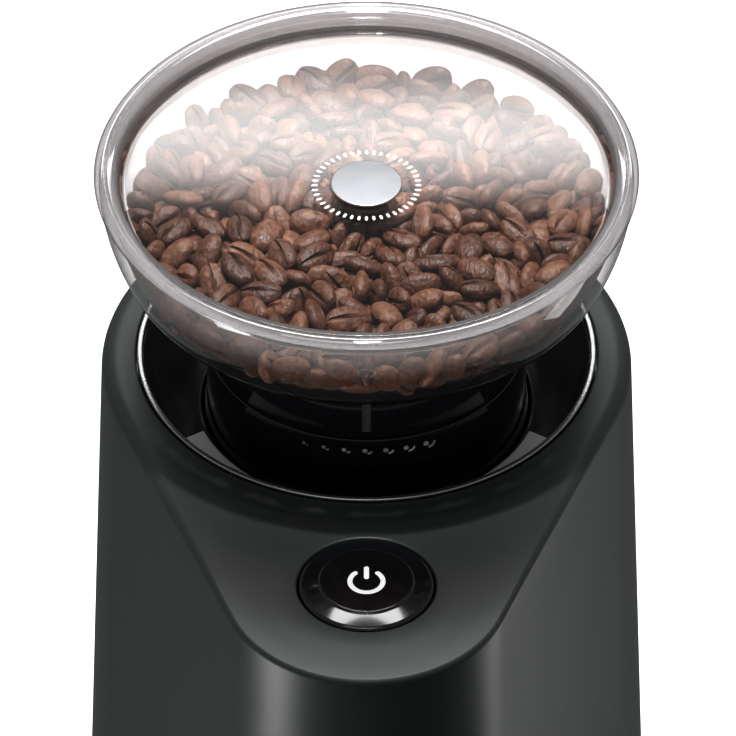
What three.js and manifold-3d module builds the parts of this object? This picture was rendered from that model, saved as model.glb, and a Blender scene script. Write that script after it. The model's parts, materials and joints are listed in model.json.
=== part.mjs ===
// Burr coffee grinder: a tall tapered housing with a round back and a narrower round nose, a clear bean
// hopper standing in a round well in its top, a start button over the nose, and a grounds container
// that slides out of the lower front. Inside, a motor drives a conical burr through two spur stages,
// and turning the hopper screws the ring burr up or down to set how fine it grinds.
// Millimetres, +Z up, front towards -Y, origin at the middle of the footprint on the worktop.
import * as THREE from "three";
import { mergeVertices } from "three/addons/utils/BufferGeometryUtils.js";
import Module from "manifold-3d";

const wasm = await Module();
wasm.setup();

// ---- Driving dimensions -------------------------------------------------------------------------

const GAP = 0.3; // between pieces that rest on each other
const RUNNING = 0.5; // between pieces that turn or slide past each other

// Housing. In plan: a round back about the burr axis, and a nose circle forward of it.
const TOP_Z = 262; // the flat top face
const BACK_R = 60; // at the top face, as are the next two
const NOSE_R = 32;
const NOSE_Y = BACK_R + 19.5;
const FLARE = 0.0378; // growth of the back's radius for each millimetre further down
const WALL = 2.5;
const TOP_WALL = 3;
const TOP_EDGE = 1.6; // rounding between the top face and the sides
const NOSE_STEPS = 12;
const BACK_STEPS = 18;

// Base and feet
const FOOT_H = 3;
const FOOT_R = 8.5;
const PEG_R = 2.4;
const PAN_FLANGE = 1.8;
const PAN_FLOOR = 4;
const PAN_RIM = 6;
const PAN_SHADOW = 0.8; // how far the flange stands in from the housing's skin
const SCREW_R = 1.5;
const SCREW_HEAD_R = 3;
const SCREW_L = 15;
const BOSS_R = 4.5;
const BOSS_H = 20;

// Well in the top, from the bright ring down to the fineness scale
const WELL_LAND = 8; // housing left around the well
const WELL_DEPTH = 14.4;
const RING_W = 1.2;
const RING_PROUD = 0.6;
const DISH_WALL = 2.4;

// Burrs and what holds them
const BURR_R = 26; // ring burr, outside
const BURR_H = 29;
const CONE_BASE_R = 19.6;
const CONE_TOP_R = 9;
const CONE_H = 30.5;
const BURR_GAP = 1.2;
const CARRIER_WALL = 5.2;
const CHAMBER_WALL = 4.4;
const SPINDLE_R = 4;
const ADJUSTER_H = 10.5;
const SCALE_RISE = 4.4; // the scale ring's top above the housing's top face

// Hopper, lid and shutter
const BOWL_R = 59.8; // outside, at the rim
const BOWL_WALL = 2.4;
const BOWL_FOOT_R = BOWL_R - 5; // outside, where the wall turns in
const BOWL_H = 20; // rim down to the foot
const RIM_RISE = 51; // rim above the housing's top face
const FUNNEL_DROP = 17; // from the neck's top down to the throat
const NECK_WALL = 2.2;
const NECK_LOW = 5; // the neck's lower edge above the housing's top face
const THROAT_R = 18.2;
const THROAT_WALL = 2.3;
const SHUTTER_T = 3;
const WEB_T = 2;
const WINDOW_IN = 5.5; // the two bean windows are sectors of a ring, from here to just inside the throat
const WINDOW_SPAN = 88; // degrees, less than the bars between them, so that a quarter turn shuts them
const LID_R = BOWL_R + 1.2;
const LID_STEP = 5.8; // width of the lid's raised rim
const LID_SINK = 3.4; // the lid's clear panel below the rim's widest line
const LID_T = 2;
const LID_CROWN = 1.8;
const BADGE_R = 8;

// Start button
const BUTTON_R = 15.1;
const BUTTON_FACE_R = 10.3;
const BUTTON_RISE = 1.2;
const BUTTON_TRAVEL = 1.6;
const GUIDE_DEPTH = 19;

// Grounds container and its bay
const BAY_HALF = 33;
const BAY_BACK = 50; // forward of the burr axis
const BAY_LOW = 19;
const BAY_HIGH = 131;
const BAY_WALL = 1.8;
const BOX_WALL = 2.4;
const BOX_FREE = 0.6; // all round the container
const BOX_DROP = 6.4; // its side walls below the top of its front
const NOTCH_R = 12; // half-round finger notch

// Chute
const CHUTE_HALF = 12;
const CHUTE_DEPTH = 22;
const CHUTE_WALL = 2;

// Gears
const MODULE = 1;
const PINION_TEETH = 12;
const WHEEL_TEETH = 36;
const GEAR_SLACK = 0.15; // added to the centre distance
const WHEEL_H = 7;
const GEARBOX_WALL = 2.5;

// Motor and frame
const MOTOR_R = 30;
const MOTOR_H = 64;
const MOTOR_SHAFT_R = 2.5;
const FAN_R = 22;
const LEG_W = 10;
const LEG_T = 5;

// Mains entry
const GLAND_Z = 24;
const GLAND_BORE_R = 3.4;
const GLAND_R = 6;

// ---- Places worked out from them ----------------------------------------------------------------

const PAN_Z = FOOT_H;
const FLANGE_TOP = PAN_Z + PAN_FLANGE;
const HOUSING_Z = FLANGE_TOP + GAP;
const LEAN = Math.asin((BACK_R - NOSE_R) / NOSE_Y); // the straight flanks' angle to the fore-and-aft line
const growth = (z) => 1 + (FLARE * (TOP_Z - z)) / BACK_R;
const WELL_R = BACK_R - WELL_LAND;

const SCALE_R = BURR_R + CARRIER_WALL + 2 * RUNNING + CHAMBER_WALL + GAP; // outside of scale and chamber
const SCALE_TOP = TOP_Z + SCALE_RISE;
const SCALE_LOW = TOP_Z - WELL_DEPTH - 7.6;
const CHAMBER_TOP = SCALE_LOW - GAP;
const ADJUSTER_TOP = TOP_Z - 6;
const ADJUSTER_LOW = ADJUSTER_TOP - ADJUSTER_H;
const CARRIER_TOP = ADJUSTER_LOW - 2;
const CARRIER_R = BURR_R + GAP + CARRIER_WALL;
const RING_BURR_TOP = CARRIER_TOP - 2.8;
const CONE_LOW = RING_BURR_TOP - BURR_H - 4.2;
const CHAMBER_FLOOR = CONE_LOW - 6.5;
const CHAMBER_Z = CHAMBER_FLOOR - 4;
const GEARBOX_TOP = CHAMBER_Z - 9;
const GEARBOX_Z = GEARBOX_TOP - 30;
const GEARBOX_R = (MODULE * (WHEEL_TEETH + 2)) / 2 + 1.5 + GEARBOX_WALL;
const IDLER_Y = (MODULE * (PINION_TEETH + WHEEL_TEETH)) / 2 + GEAR_SLACK;
const STAGE1_Z = GEARBOX_Z + 5.5;
const STAGE2_Z = STAGE1_Z + WHEEL_H + 2;
const FRAME_TOP = GEARBOX_Z - GAP;
const FRAME_T = 1.4;
const MOTOR_TOP = FRAME_TOP - FRAME_T - GAP;
const MOTOR_Z = MOTOR_TOP - MOTOR_H;

const RIM_Z = TOP_Z + RIM_RISE;
const FOOT_Z = RIM_Z - BOWL_H;
const NECK_Z = TOP_Z + NECK_LOW;
const NECK_R = SCALE_R - 0.7;
const NECK_TOP = FOOT_Z - 9;
const SEAT_R = NECK_R - NECK_WALL + 0.2; // the hole in the bowl's floor, which sits on the neck
const THROAT_TOP = NECK_TOP + 0.3 - FUNNEL_DROP;
const THROAT_OUT = THROAT_R + THROAT_WALL;
const WEB_Z = ADJUSTER_TOP - 2.5;
const SHUTTER_Z = WEB_Z - 0.5 - SHUTTER_T;
const THROAT_LOW = SHUTTER_Z - 3.5;

const PANEL_Z = RIM_Z + 0.8 - LID_SINK; // top of the lid's clear panel
const BAY_TOP_Z = BAY_HIGH;
const CHUTE_FRONT = BAY_BACK + 19 + CHUTE_DEPTH;
const CHUTE_REAR = BAY_BACK + 19;
const GUIDE_R = BUTTON_R + RUNNING;
const GUIDE_TOP = TOP_Z - TOP_WALL - GAP;
const GUIDE_Z = GUIDE_TOP - GUIDE_DEPTH;

const wallAt = (z) => BACK_R * growth(z); // the housing's back, from the burr axis
const GLAND_OUT = wallAt(GLAND_Z) + 0.6 + 2.6;
const FRONT_REACH = (NOSE_Y + NOSE_R) * growth(HOUSING_Z);
const BACK_REACH = Math.max(wallAt(HOUSING_Z), GLAND_OUT);
const AXIS_Y = (FRONT_REACH - BACK_REACH) / 2; // the burr axis, from the middle of the footprint

// ---- Shape helpers ------------------------------------------------------------------------------

const RAD = Math.PI / 180;

// A three.js geometry as a solid for cutting and joining, its faces turned out whichever way it was made.
function solid(geometry) {
  const loose = geometry.index ? geometry.toNonIndexed() : geometry;
  const bare = new THREE.BufferGeometry().setAttribute("position", loose.getAttribute("position"));
  const merged = mergeVertices(bare, 1e-4);
  const index = merged.index.array;
  const kept = [];
  for (let i = 0; i < index.length; i += 3) {
    const [a, b, c] = [index[i], index[i + 1], index[i + 2]];
    if (a !== b && b !== c && c !== a) kept.push([a, b, c]);
  }
  const make = (faces) =>
    new wasm.Manifold(
      new wasm.Mesh({
        numProp: 3,
        vertProperties: merged.attributes.position.array,
        triVerts: new Uint32Array(faces.flat()),
      }),
    );
  const made = make(kept);
  return made.volume() < 0 ? make(kept.map(([a, b, c]) => [a, c, b])) : made;
}

// A solid as a three.js geometry.
function geometryOf(shape) {
  const mesh = shape.getMesh();
  const points = new Float32Array(mesh.numVert * 3);
  for (let i = 0; i < mesh.numVert; i++) {
    points.set(mesh.vertProperties.subarray(i * mesh.numProp, i * mesh.numProp + 3), i * 3);
  }
  return new THREE.BufferGeometry()
    .setAttribute("position", new THREE.BufferAttribute(points, 3))
    .setIndex(new THREE.BufferAttribute(mesh.triVerts, 1));
}

const join = (first, ...others) => others.reduce((made, next) => made.add(next), first);
const cut = (first, ...others) => others.reduce((made, next) => made.subtract(next), first);

// A profile of [radius, height] points turned about +Z. It is closed unless both its ends are on the axis.
function turned(profile, segments = 32) {
  const points = profile.map(([r, z]) => new THREE.Vector2(r, z));
  const last = points[points.length - 1];
  if (points[0].x > 0 || last.x > 0) points.push(points[0].clone());
  return solid(new THREE.LatheGeometry(points, segments).rotateX(Math.PI / 2));
}

const disc = (r, low, high, segments = 20) =>
  solid(new THREE.CylinderGeometry(r, r, high - low, segments).rotateX(Math.PI / 2).translate(0, 0, (low + high) / 2));

const ring = (inner, outer, low, high, segments = 20) =>
  turned([[inner, low], [outer, low], [outer, high], [inner, high]], segments);

const block = (x0, x1, y0, y1, z0, z1) =>
  solid(new THREE.BoxGeometry(x1 - x0, y1 - y0, z1 - z0).translate((x0 + x1) / 2, (y0 + y1) / 2, (z0 + z1) / 2));

// A rod along Y.
const rodY = (r, y0, y1, x, z, segments = 20) =>
  solid(new THREE.CylinderGeometry(r, r, y1 - y0, segments).translate(x, (y0 + y1) / 2, z));

// A flat outline of [x, y] points, raised from low to high.
function raised(outline, low, high) {
  const shape = new THREE.Shape(outline.map(([x, y]) => new THREE.Vector2(x, y)));
  return solid(
    new THREE.ExtrudeGeometry(shape, { depth: high - low, bevelEnabled: false }).translate(0, 0, low),
  );
}

// An outline of [y, z] points, given thickness across X.
function acrossX(outline, half) {
  const shape = new THREE.Shape(outline.map(([y, z]) => new THREE.Vector2(y, z)));
  const made = new THREE.ExtrudeGeometry(shape, { depth: 2 * half, bevelEnabled: false });
  const turn = new THREE.Matrix4().set(0, 0, 1, -half, 1, 0, 0, 0, 0, 1, 0, 0, 0, 0, 0, 1);
  return solid(made.applyMatrix4(turn));
}

// Points round an arc, from one angle to another, in degrees.
function arc(x, y, r, from, to, steps) {
  return Array.from({ length: steps + 1 }, (_, i) => {
    const a = (from + ((to - from) * i) / steps) * RAD;
    return [x + r * Math.cos(a), y + r * Math.sin(a)];
  });
}

// The housing's outline at a height, moved in from its skin by inset.
function plan(z, inset) {
  const k = growth(z);
  const lean = LEAN / RAD;
  return [
    ...arc(0, 0, BACK_R * k - inset, -lean, 180 + lean, BACK_STEPS),
    ...arc(0, -NOSE_Y * k, NOSE_R * k - inset, 180 + lean, 360 - lean, NOSE_STEPS),
  ];
}

// A convex solid through the housing's outline at several [height, inset] rows, from the lowest up.
function lofted(rows) {
  const rings = rows.map(([z, inset]) => plan(z, inset).map(([x, y]) => [x, y, z]));
  const n = rings[0].length;
  const faces = [];
  for (let row = 0; row + 1 < rings.length; row++) {
    for (let i = 0; i < n; i++) {
      const j = (i + 1) % n;
      faces.push(rings[row][i], rings[row][j], rings[row + 1][j]);
      faces.push(rings[row][i], rings[row + 1][j], rings[row + 1][i]);
    }
  }
  const [low, high] = [rings[0], rings[rings.length - 1]];
  for (let i = 1; i + 1 < n; i++) {
    faces.push(low[0], low[i + 1], low[i]);
    faces.push(high[0], high[i], high[i + 1]);
  }
  const points = new THREE.BufferAttribute(new Float32Array(faces.flat()), 3);
  return solid(new THREE.BufferGeometry().setAttribute("position", points));
}

// A spur gear's outline with a tooth centred on angle start. Straight flanks run between the points of an
// involute at the root and the short tip.
function gearOutline(teeth, start) {
  const pitch = (MODULE * teeth) / 2;
  const pressure = 25 * RAD;
  const base = pitch * Math.cos(pressure);
  const tip = pitch + 0.8 * MODULE;
  const root = pitch - 1.05 * MODULE;
  const involute = (r) => {
    const a = Math.acos(Math.min(1, base / r));
    return Math.tan(a) - a;
  };
  const half = Math.PI / (2 * teeth) - 0.1 / pitch + involute(pitch);
  const profile = [root, tip].map((r) => [r, half - involute(r)]);
  const points = [];
  for (let t = 0; t < teeth; t++) {
    const centre = start * RAD + (2 * Math.PI * t) / teeth;
    for (const [r, a] of profile) points.push([r * Math.cos(centre - a), r * Math.sin(centre - a)]);
    for (const [r, a] of profile.toReversed()) points.push([r * Math.cos(centre + a), r * Math.sin(centre + a)]);
  }
  return points;
}

// A toothed cone or bore: star-shaped rings from low to high that twist as they climb.
function fluted(teeth, rows, twist) {
  const rings = rows.map(([z, tip, root], row) =>
    Array.from({ length: 2 * teeth }, (_, i) => {
      const a = (Math.PI * (i + 0.35 * (i % 2))) / teeth + (twist * RAD * row) / (rows.length - 1);
      const r = i % 2 ? root : tip;
      return [r * Math.cos(a), r * Math.sin(a), z];
    }),
  );
  const n = 2 * teeth;
  const faces = [];
  for (let row = 0; row + 1 < rings.length; row++) {
    for (let i = 0; i < n; i++) {
      const j = (i + 1) % n;
      faces.push(rings[row][i], rings[row][j], rings[row + 1][j]);
      faces.push(rings[row][i], rings[row + 1][j], rings[row + 1][i]);
    }
  }
  for (const [side, flip] of [[rings[0], true], [rings[rings.length - 1], false]]) {
    const centre = [0, 0, side[0][2]];
    for (let i = 0; i < n; i++) {
      const [a, b] = [side[i], side[(i + 1) % n]];
      faces.push(centre, flip ? b : a, flip ? a : b);
    }
  }
  const points = new THREE.BufferAttribute(new Float32Array(faces.flat()), 3);
  return solid(new THREE.BufferGeometry().setAttribute("position", points));
}

// ---- Materials ----------------------------------------------------------------------------------

const finish = (color, roughness, metalness = 0, opacity = 1) =>
  new THREE.MeshStandardMaterial({ color, roughness, metalness, opacity, transparent: opacity < 1 });

const MATERIALS = {
  anthracite: finish(0x2c3230, 0.45),
  black: finish(0x121314, 0.6),
  gloss: finish(0x07080a, 0.08),
  clear: finish(0xe8e4e2, 0.05, 0, 0.3),
  smoke: finish(0x3c3a3a, 0.08, 0, 0.45),
  silver: finish(0xc9ccd0, 0.22, 1),
  steel: finish(0xa9acb0, 0.3, 1),
  burr: finish(0x8d8f93, 0.35, 1),
  brass: finish(0xb6934a, 0.35, 1),
  zinc: finish(0x9da1a5, 0.5, 1),
  rubber: finish(0x1a1a1b, 0.85),
  nylon: finish(0xe6e1d4, 0.5),
  copper: finish(0xa35f36, 0.4, 1),
  board: finish(0x1f5a3a, 0.6),
};

// ---- The assembly -------------------------------------------------------------------------------

const grinder = new THREE.Group();
const onAxis = new THREE.Group(); // everything below is placed from the burr axis
onAxis.position.y = AXIS_Y;
grinder.add(onAxis);

function place(name, shape, material, group = onAxis) {
  const mesh = new THREE.Mesh(geometryOf(shape), MATERIALS[material]);
  mesh.name = name;
  group.add(mesh);
  return mesh;
}

function subassembly(x = 0, y = 0, z = 0) {
  const group = new THREE.Group();
  group.position.set(x, y, z);
  onAxis.add(group);
  return group;
}

// ---- Base, feet and the screws that hold the housing down ---------------------------------------

const baseGrowth = growth(PAN_Z);
const FEET = {
  foot_front_left: [-22, -NOSE_Y * baseGrowth],
  foot_front_right: [22, -NOSE_Y * baseGrowth],
  foot_rear_left: [-0.57 * wallAt(PAN_Z), 0.52 * wallAt(PAN_Z)],
  foot_rear_right: [0.57 * wallAt(PAN_Z), 0.52 * wallAt(PAN_Z)],
};

// Screw bosses stand against the housing's inner wall: two on the round back, two on the flanks.
const bossIn = wallAt(HOUSING_Z + BOSS_H) - WALL - 2.5;
const BACK_BOSS = 58; // degrees round the back from the side
const FLANK_RUN = 42; // along a flank, forward of where it leaves the round back
function flankBoss(side) {
  const [nx, ny] = [Math.cos(LEAN), -Math.sin(LEAN)];
  return [side * (bossIn * nx + FLANK_RUN * ny), bossIn * ny - FLANK_RUN * nx];
}
const BOSSES = [
  [bossIn * Math.cos(BACK_BOSS * RAD), bossIn * Math.sin(BACK_BOSS * RAD)],
  [-bossIn * Math.cos(BACK_BOSS * RAD), bossIn * Math.sin(BACK_BOSS * RAD)],
  flankBoss(1),
  flankBoss(-1),
];
const BOSS_Z = PAN_Z + PAN_RIM + GAP;
const SCREW_Z = PAN_Z + 0.3;
const SCREW_HEAD_H = 1.8;

function basePan() {
  const floor = PAN_Z + PAN_FLOOR;
  const body = join(
    lofted([[PAN_Z, PAN_SHADOW], [FLANGE_TOP, PAN_SHADOW]]),
    lofted([[PAN_Z + 0.5, WALL + GAP], [PAN_Z + PAN_RIM, WALL + GAP]]),
  );
  const pocket = lofted([[floor, WALL + 2.6], [floor + 9, WALL + 2.6]]);
  const pegs = Object.values(FEET).map(([x, y]) => disc(PEG_R + GAP, PAN_Z - 1, floor + 1, 8).translate([x, y, 0]));
  const screws = BOSSES.flatMap(([x, y]) => [
    disc(SCREW_HEAD_R + GAP, PAN_Z - 1, SCREW_Z + SCREW_HEAD_H + GAP, 8).translate([x, y, 0]),
    disc(SCREW_R + GAP, PAN_Z - 1, PAN_Z + PAN_RIM + 1, 8).translate([x, y, 0]),
  ]);
  const vents = [-1, 0, 1].map((i) => block(-16, 16, 7 * i - 1.2, 7 * i + 1.2, PAN_Z - 1, floor + 1));
  return cut(body, pocket, ...pegs, ...screws, ...vents);
}

place("base_pan", basePan(), "black");

for (const [name, [x, y]] of Object.entries(FEET)) {
  const foot = turned(
    [[0, 0], [FOOT_R - 0.8, 0], [FOOT_R, 0.8], [FOOT_R, FOOT_H - GAP], [PEG_R, FOOT_H - GAP], [PEG_R, FOOT_H + 3], [0, FOOT_H + 3]],
    12,
  );
  place(name, foot, "rubber").position.set(x, y, 0);
}

BOSSES.forEach(([x, y], i) => {
  const screw = turned(
    [[0, 0], [SCREW_HEAD_R, 0], [SCREW_HEAD_R, SCREW_HEAD_H], [SCREW_R, SCREW_HEAD_H], [SCREW_R, SCREW_L], [0, SCREW_L]],
    8,
  );
  place(`base_screw_${i + 1}`, screw, "steel").position.set(x, y, SCREW_Z);
});

// ---- Housing ------------------------------------------------------------------------------------

const VENT_ROWS = 6;
const VENT_PITCH = 5.5;

function housingShell() {
  const outside = lofted([
    [HOUSING_Z, 0],
    [TOP_Z - TOP_EDGE, 0],
    [TOP_Z, TOP_EDGE],
  ]);
  const inside = lofted([[HOUSING_Z - 1, WALL], [TOP_Z - TOP_WALL, WALL]]);
  const bosses = BOSSES.map(([x, y]) => disc(BOSS_R, BOSS_Z, BOSS_Z + BOSS_H, 12).translate([x, y, 0]));
  const holes = BOSSES.map(([x, y]) => disc(SCREW_R + GAP, BOSS_Z - 1, SCREW_Z + SCREW_L + 1, 8).translate([x, y, 0]));
  const vents = Array.from({ length: VENT_ROWS }, (_, i) => {
    const z = GLAND_Z + 20 + i * VENT_PITCH;
    return block(-17, 17, wallAt(TOP_Z) - 12, wallAt(0) + 5, z, z + 2.2);
  });
  return cut(
    join(cut(outside, inside), ...bosses.map((boss) => boss.intersect(lofted([[BOSS_Z - 1, 1], [BOSS_Z + BOSS_H + 1, 1]])))),
    disc(WELL_R + GAP, TOP_Z - 10, TOP_Z + 5, 40),
    disc(BUTTON_R + GAP, TOP_Z - 10, TOP_Z + 5, 24).translate([0, -NOSE_Y, 0]),
    block(-BAY_HALF, BAY_HALF, -FRONT_REACH - 5, -BAY_BACK - 10, BAY_LOW, BAY_HIGH),
    rodY(GLAND_R + GAP, wallAt(TOP_Z) - 10, wallAt(0) + 5, 0, GLAND_Z),
    ...holes,
    ...vents,
  );
}

place("housing_shell", housingShell(), "anthracite");

// Rubber bush where the mains lead enters.
function cordGland() {
  const skin = wallAt(GLAND_Z);
  const profile = [
    [GLAND_BORE_R, skin - 7],
    [GLAND_R + 2.4, skin - 7],
    [GLAND_R + 2.4, skin - WALL - 1.4],
    [GLAND_R, skin - WALL - 1.4],
    [GLAND_R, skin + 0.8],
    [GLAND_R + 2, skin + 0.8],
    [GLAND_R + 1, GLAND_OUT],
    [GLAND_BORE_R, GLAND_OUT],
  ];
  return turned(profile, 16).rotate([-90, 0, 0]).translate([0, 0, GLAND_Z]);
}

place("cord_gland", cordGland(), "rubber");

// ---- Well: bright ring, glossy dish and fineness scale ring ---------------------------------------

place(
  "well_trim_ring",
  turned(
    [
      [WELL_R - RING_W, TOP_Z - TOP_WALL],
      [WELL_R, TOP_Z - TOP_WALL],
      [WELL_R, TOP_Z + 0.6 * RING_PROUD],
      [WELL_R - 0.3 * RING_W, TOP_Z + RING_PROUD],
      [WELL_R - RING_W, TOP_Z + RING_PROUD],
    ],
    40,
  ),
  "silver",
);

const DISH_OUT = WELL_R - RING_W - GAP;
const DISH_IN = SCALE_R + RUNNING;
const DISH_LOW = TOP_Z - WELL_DEPTH;
const FLANGE_Z = TOP_Z - TOP_WALL - GAP;

place(
  "well_dish",
  turned(
    [
      [DISH_IN, DISH_LOW],
      [DISH_OUT, TOP_Z],
      [DISH_OUT, FLANGE_Z],
      [WELL_R + 4, FLANGE_Z],
      [WELL_R + 4, FLANGE_Z - 2],
      [DISH_OUT - 0.8, FLANGE_Z - 2],
      [DISH_IN + 1.5, DISH_LOW - DISH_WALL],
      [DISH_IN, DISH_LOW - DISH_WALL],
    ],
    40,
  ),
  "gloss",
);

const SCALE_IN = CARRIER_R + 2 * RUNNING + 1.3;

place(
  "fineness_scale_ring",
  turned(
    [
      [CARRIER_R + RUNNING, SCALE_LOW],
      [SCALE_R, SCALE_LOW],
      [SCALE_R, DISH_LOW + 0.4],
      [NECK_R, DISH_LOW + 1.4],
      [NECK_R, SCALE_TOP],
      [SCALE_IN, SCALE_TOP],
      [SCALE_IN, ADJUSTER_LOW - RUNNING],
      [CARRIER_R + RUNNING, ADJUSTER_LOW - RUNNING],
    ],
    36,
  ),
  "gloss",
);

// ---- Grind chamber, its bearing, and the chute ----------------------------------------------------

const BEARING_R = 11;
const BEARING_H = 7;
const CHAMBER_IN = CARRIER_R + RUNNING + 1.2;
const OUTLET_HALF = CHUTE_HALF - CHUTE_WALL - 0.4;
const OUTLET_Z = CHAMBER_FLOOR + 2.5;
const OUTLET_H = 12;
const POST_RING = 19.5;

function grindChamber() {
  const cup = turned(
    [
      [CHAMBER_IN, CHAMBER_TOP],
      [SCALE_R, CHAMBER_TOP],
      [SCALE_R, CHAMBER_Z],
      [BEARING_R + 3, CHAMBER_Z],
      [BEARING_R + 3, CHAMBER_FLOOR - BEARING_H - 1.5],
      [BEARING_R - 2, CHAMBER_FLOOR - BEARING_H - 1.5],
      [BEARING_R - 2, CHAMBER_FLOOR - BEARING_H - GAP],
      [BEARING_R + GAP, CHAMBER_FLOOR - BEARING_H - GAP],
      [BEARING_R + GAP, CHAMBER_FLOOR],
      [CHAMBER_IN, CHAMBER_FLOOR],
    ],
    28,
  );
  const posts = [30, 150, 270].map((a) =>
    disc(3, GEARBOX_TOP + GAP, CHAMBER_Z + 1, 12).translate([
      POST_RING * Math.cos(a * RAD),
      POST_RING * Math.sin(a * RAD),
      0,
    ]),
  );
  const outlet = block(-OUTLET_HALF, OUTLET_HALF, -SCALE_R - 5, -CHAMBER_IN + 8, OUTLET_Z, OUTLET_Z + OUTLET_H);
  return cut(join(cup, ...posts), outlet);
}

place("grind_chamber", grindChamber(), "black");
place(
  "spindle_bearing_upper",
  ring(SPINDLE_R + GAP, BEARING_R, CHAMBER_FLOOR - BEARING_H, CHAMBER_FLOOR - 0.3, 16),
  "steel",
);
place("spindle_seal", ring(SPINDLE_R + GAP, BEARING_R + 2.5, CHAMBER_FLOOR + GAP, CHAMBER_FLOOR + 1.1, 16), "rubber");

// The duct runs forward and down from the chamber's outlet, then straight down over the container.
// Its outline in the [y, z] plane, moved in by t for the bore.
const CHUTE_LOW = BAY_HIGH - 2.6;
function chuteOutline(t) {
  const over = OUTLET_Z + OUTLET_H + 1 + CHUTE_WALL - t;
  const under = OUTLET_Z - 1 - CHUTE_WALL + t;
  const end = CHUTE_LOW - t;
  return [
    [-SCALE_R + 6, over],
    [-BAY_BACK - 12 - 0.4 * t, over - 4],
    [-CHUTE_FRONT + t, over - 30],
    [-CHUTE_FRONT + t, end],
    [-CHUTE_REAR - t, end],
    [-CHUTE_REAR - t, under - 18],
    [-BAY_BACK - 8 - 0.4 * t, under - 6],
    [-SCALE_R + 6, under],
  ];
}

place(
  "grounds_chute",
  cut(
    acrossX(chuteOutline(0), CHUTE_HALF),
    acrossX(chuteOutline(CHUTE_WALL), CHUTE_HALF - CHUTE_WALL),
    disc(SCALE_R + GAP, CHAMBER_Z - 5, CHAMBER_TOP, 32),
  ),
  "black",
);

const SEAL_W = 3;
const chuteHole = (grow, low, high) =>
  block(-CHUTE_HALF - grow, CHUTE_HALF + grow, -CHUTE_FRONT - grow, -CHUTE_REAR + grow, low, high);

place(
  "chute_seal",
  cut(
    chuteHole(SEAL_W, BAY_HIGH - BOX_DROP + 0.4, BAY_HIGH - GAP),
    chuteHole(GAP, BAY_HIGH - 20, BAY_HIGH + 5),
  ),
  "rubber",
);

// ---- Container bay --------------------------------------------------------------------------------

function containerBay() {
  const reach = FRONT_REACH + 5;
  const outside = block(
    -BAY_HALF - BAY_WALL,
    BAY_HALF + BAY_WALL,
    -reach,
    -BAY_BACK + BAY_WALL,
    BAY_LOW - BAY_WALL,
    BAY_HIGH + BAY_WALL,
  ).intersect(lofted([[BAY_LOW - 5, WALL + GAP], [BAY_HIGH + 5, WALL + GAP]]));
  return cut(
    outside,
    block(-BAY_HALF, BAY_HALF, -reach, -BAY_BACK, BAY_LOW, BAY_HIGH),
    chuteHole(GAP, BAY_HIGH - 5, BAY_HIGH + 5),
  );
}

place("container_bay", containerBay(), "black");

// ---- Grounds container: an open box whose front finishes the housing's nose -------------------------

const container = subassembly();

function groundsContainer() {
  const half = BAY_HALF - BOX_FREE;
  const low = BAY_LOW + BOX_FREE;
  const high = BAY_HIGH - BOX_FREE;
  const back = -BAY_BACK - 1;
  const reach = FRONT_REACH + 5;
  const skin = (inset) => lofted([[BAY_LOW - 5, inset], [BAY_HIGH + 20, inset]]);
  const outside = block(-half, half, -reach, back, low, high).intersect(skin(0));
  const inside = block(
    -half + BOX_WALL,
    half - BOX_WALL,
    -reach,
    back - BOX_WALL,
    low + BOX_WALL,
    high + 20,
  ).intersect(skin(BOX_WALL));
  const behindFront = block(-half - 5, half + 5, -CHUTE_FRONT - 5, back + 5, BAY_HIGH - BOX_DROP - 0.6, high + 5);
  return cut(outside, inside, behindFront, rodY(NOTCH_R, -reach, -CHUTE_FRONT - 12, 0, high, 28));
}

place("grounds_container", groundsContainer(), "smoke", container);

// ---- Gearbox ----------------------------------------------------------------------------------------

// A stadium round the spindle and the idler.
const stadium = (r) => [...arc(0, IDLER_Y, r, 0, 180, 10), ...arc(0, 0, r, 180, 360, 10)];
const LOWER_BEARING_R = 8;

function gearboxCase() {
  const high = GEARBOX_TOP - 4 - GAP;
  return cut(
    raised(stadium(GEARBOX_R), GEARBOX_Z, high),
    raised(stadium(GEARBOX_R - GEARBOX_WALL), GEARBOX_Z + 3, high + 1),
    disc(MOTOR_SHAFT_R + 2, GEARBOX_Z - 1, GEARBOX_Z + 5, 20),
    disc(MOTOR_SHAFT_R + GAP, GEARBOX_Z - 1, GEARBOX_Z + 5, 16).translate([0, IDLER_Y, 0]),
  );
}

function gearboxCover() {
  return cut(
    raised(stadium(GEARBOX_R), GEARBOX_TOP - 4, GEARBOX_TOP),
    disc(LOWER_BEARING_R + GAP, GEARBOX_TOP - 5, GEARBOX_TOP + 1, 16),
    disc(MOTOR_SHAFT_R + GAP, GEARBOX_TOP - 5, GEARBOX_TOP - 1, 16).translate([0, IDLER_Y, 0]),
  );
}

place("gearbox_case", gearboxCase(), "zinc");
place("gearbox_cover", gearboxCover(), "zinc");
place("idler_pin", disc(MOTOR_SHAFT_R, GEARBOX_Z + 0.4, GEARBOX_TOP - 1 - GAP, 16), "steel").position.y = IDLER_Y;
place(
  "spindle_bearing_lower",
  ring(SPINDLE_R + GAP, LOWER_BEARING_R, GEARBOX_TOP - 4, GEARBOX_TOP - 0.3, 16),
  "steel",
);

const idler = subassembly(0, IDLER_Y, 0);

function idlerGear() {
  const gapStart = 180 / WHEEL_TEETH; // turns the wheel so that a space, not a tooth, faces the motor pinion
  return cut(
    join(
      raised(gearOutline(WHEEL_TEETH, gapStart), STAGE1_Z, STAGE1_Z + WHEEL_H),
      raised(gearOutline(PINION_TEETH, 90), STAGE1_Z + WHEEL_H - 0.5, STAGE2_Z + WHEEL_H + 1),
    ),
    disc(MOTOR_SHAFT_R + GAP, STAGE1_Z - 5, STAGE2_Z + WHEEL_H + 5, 16),
  );
}

place("idler_gear", idlerGear(), "nylon", idler);

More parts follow.
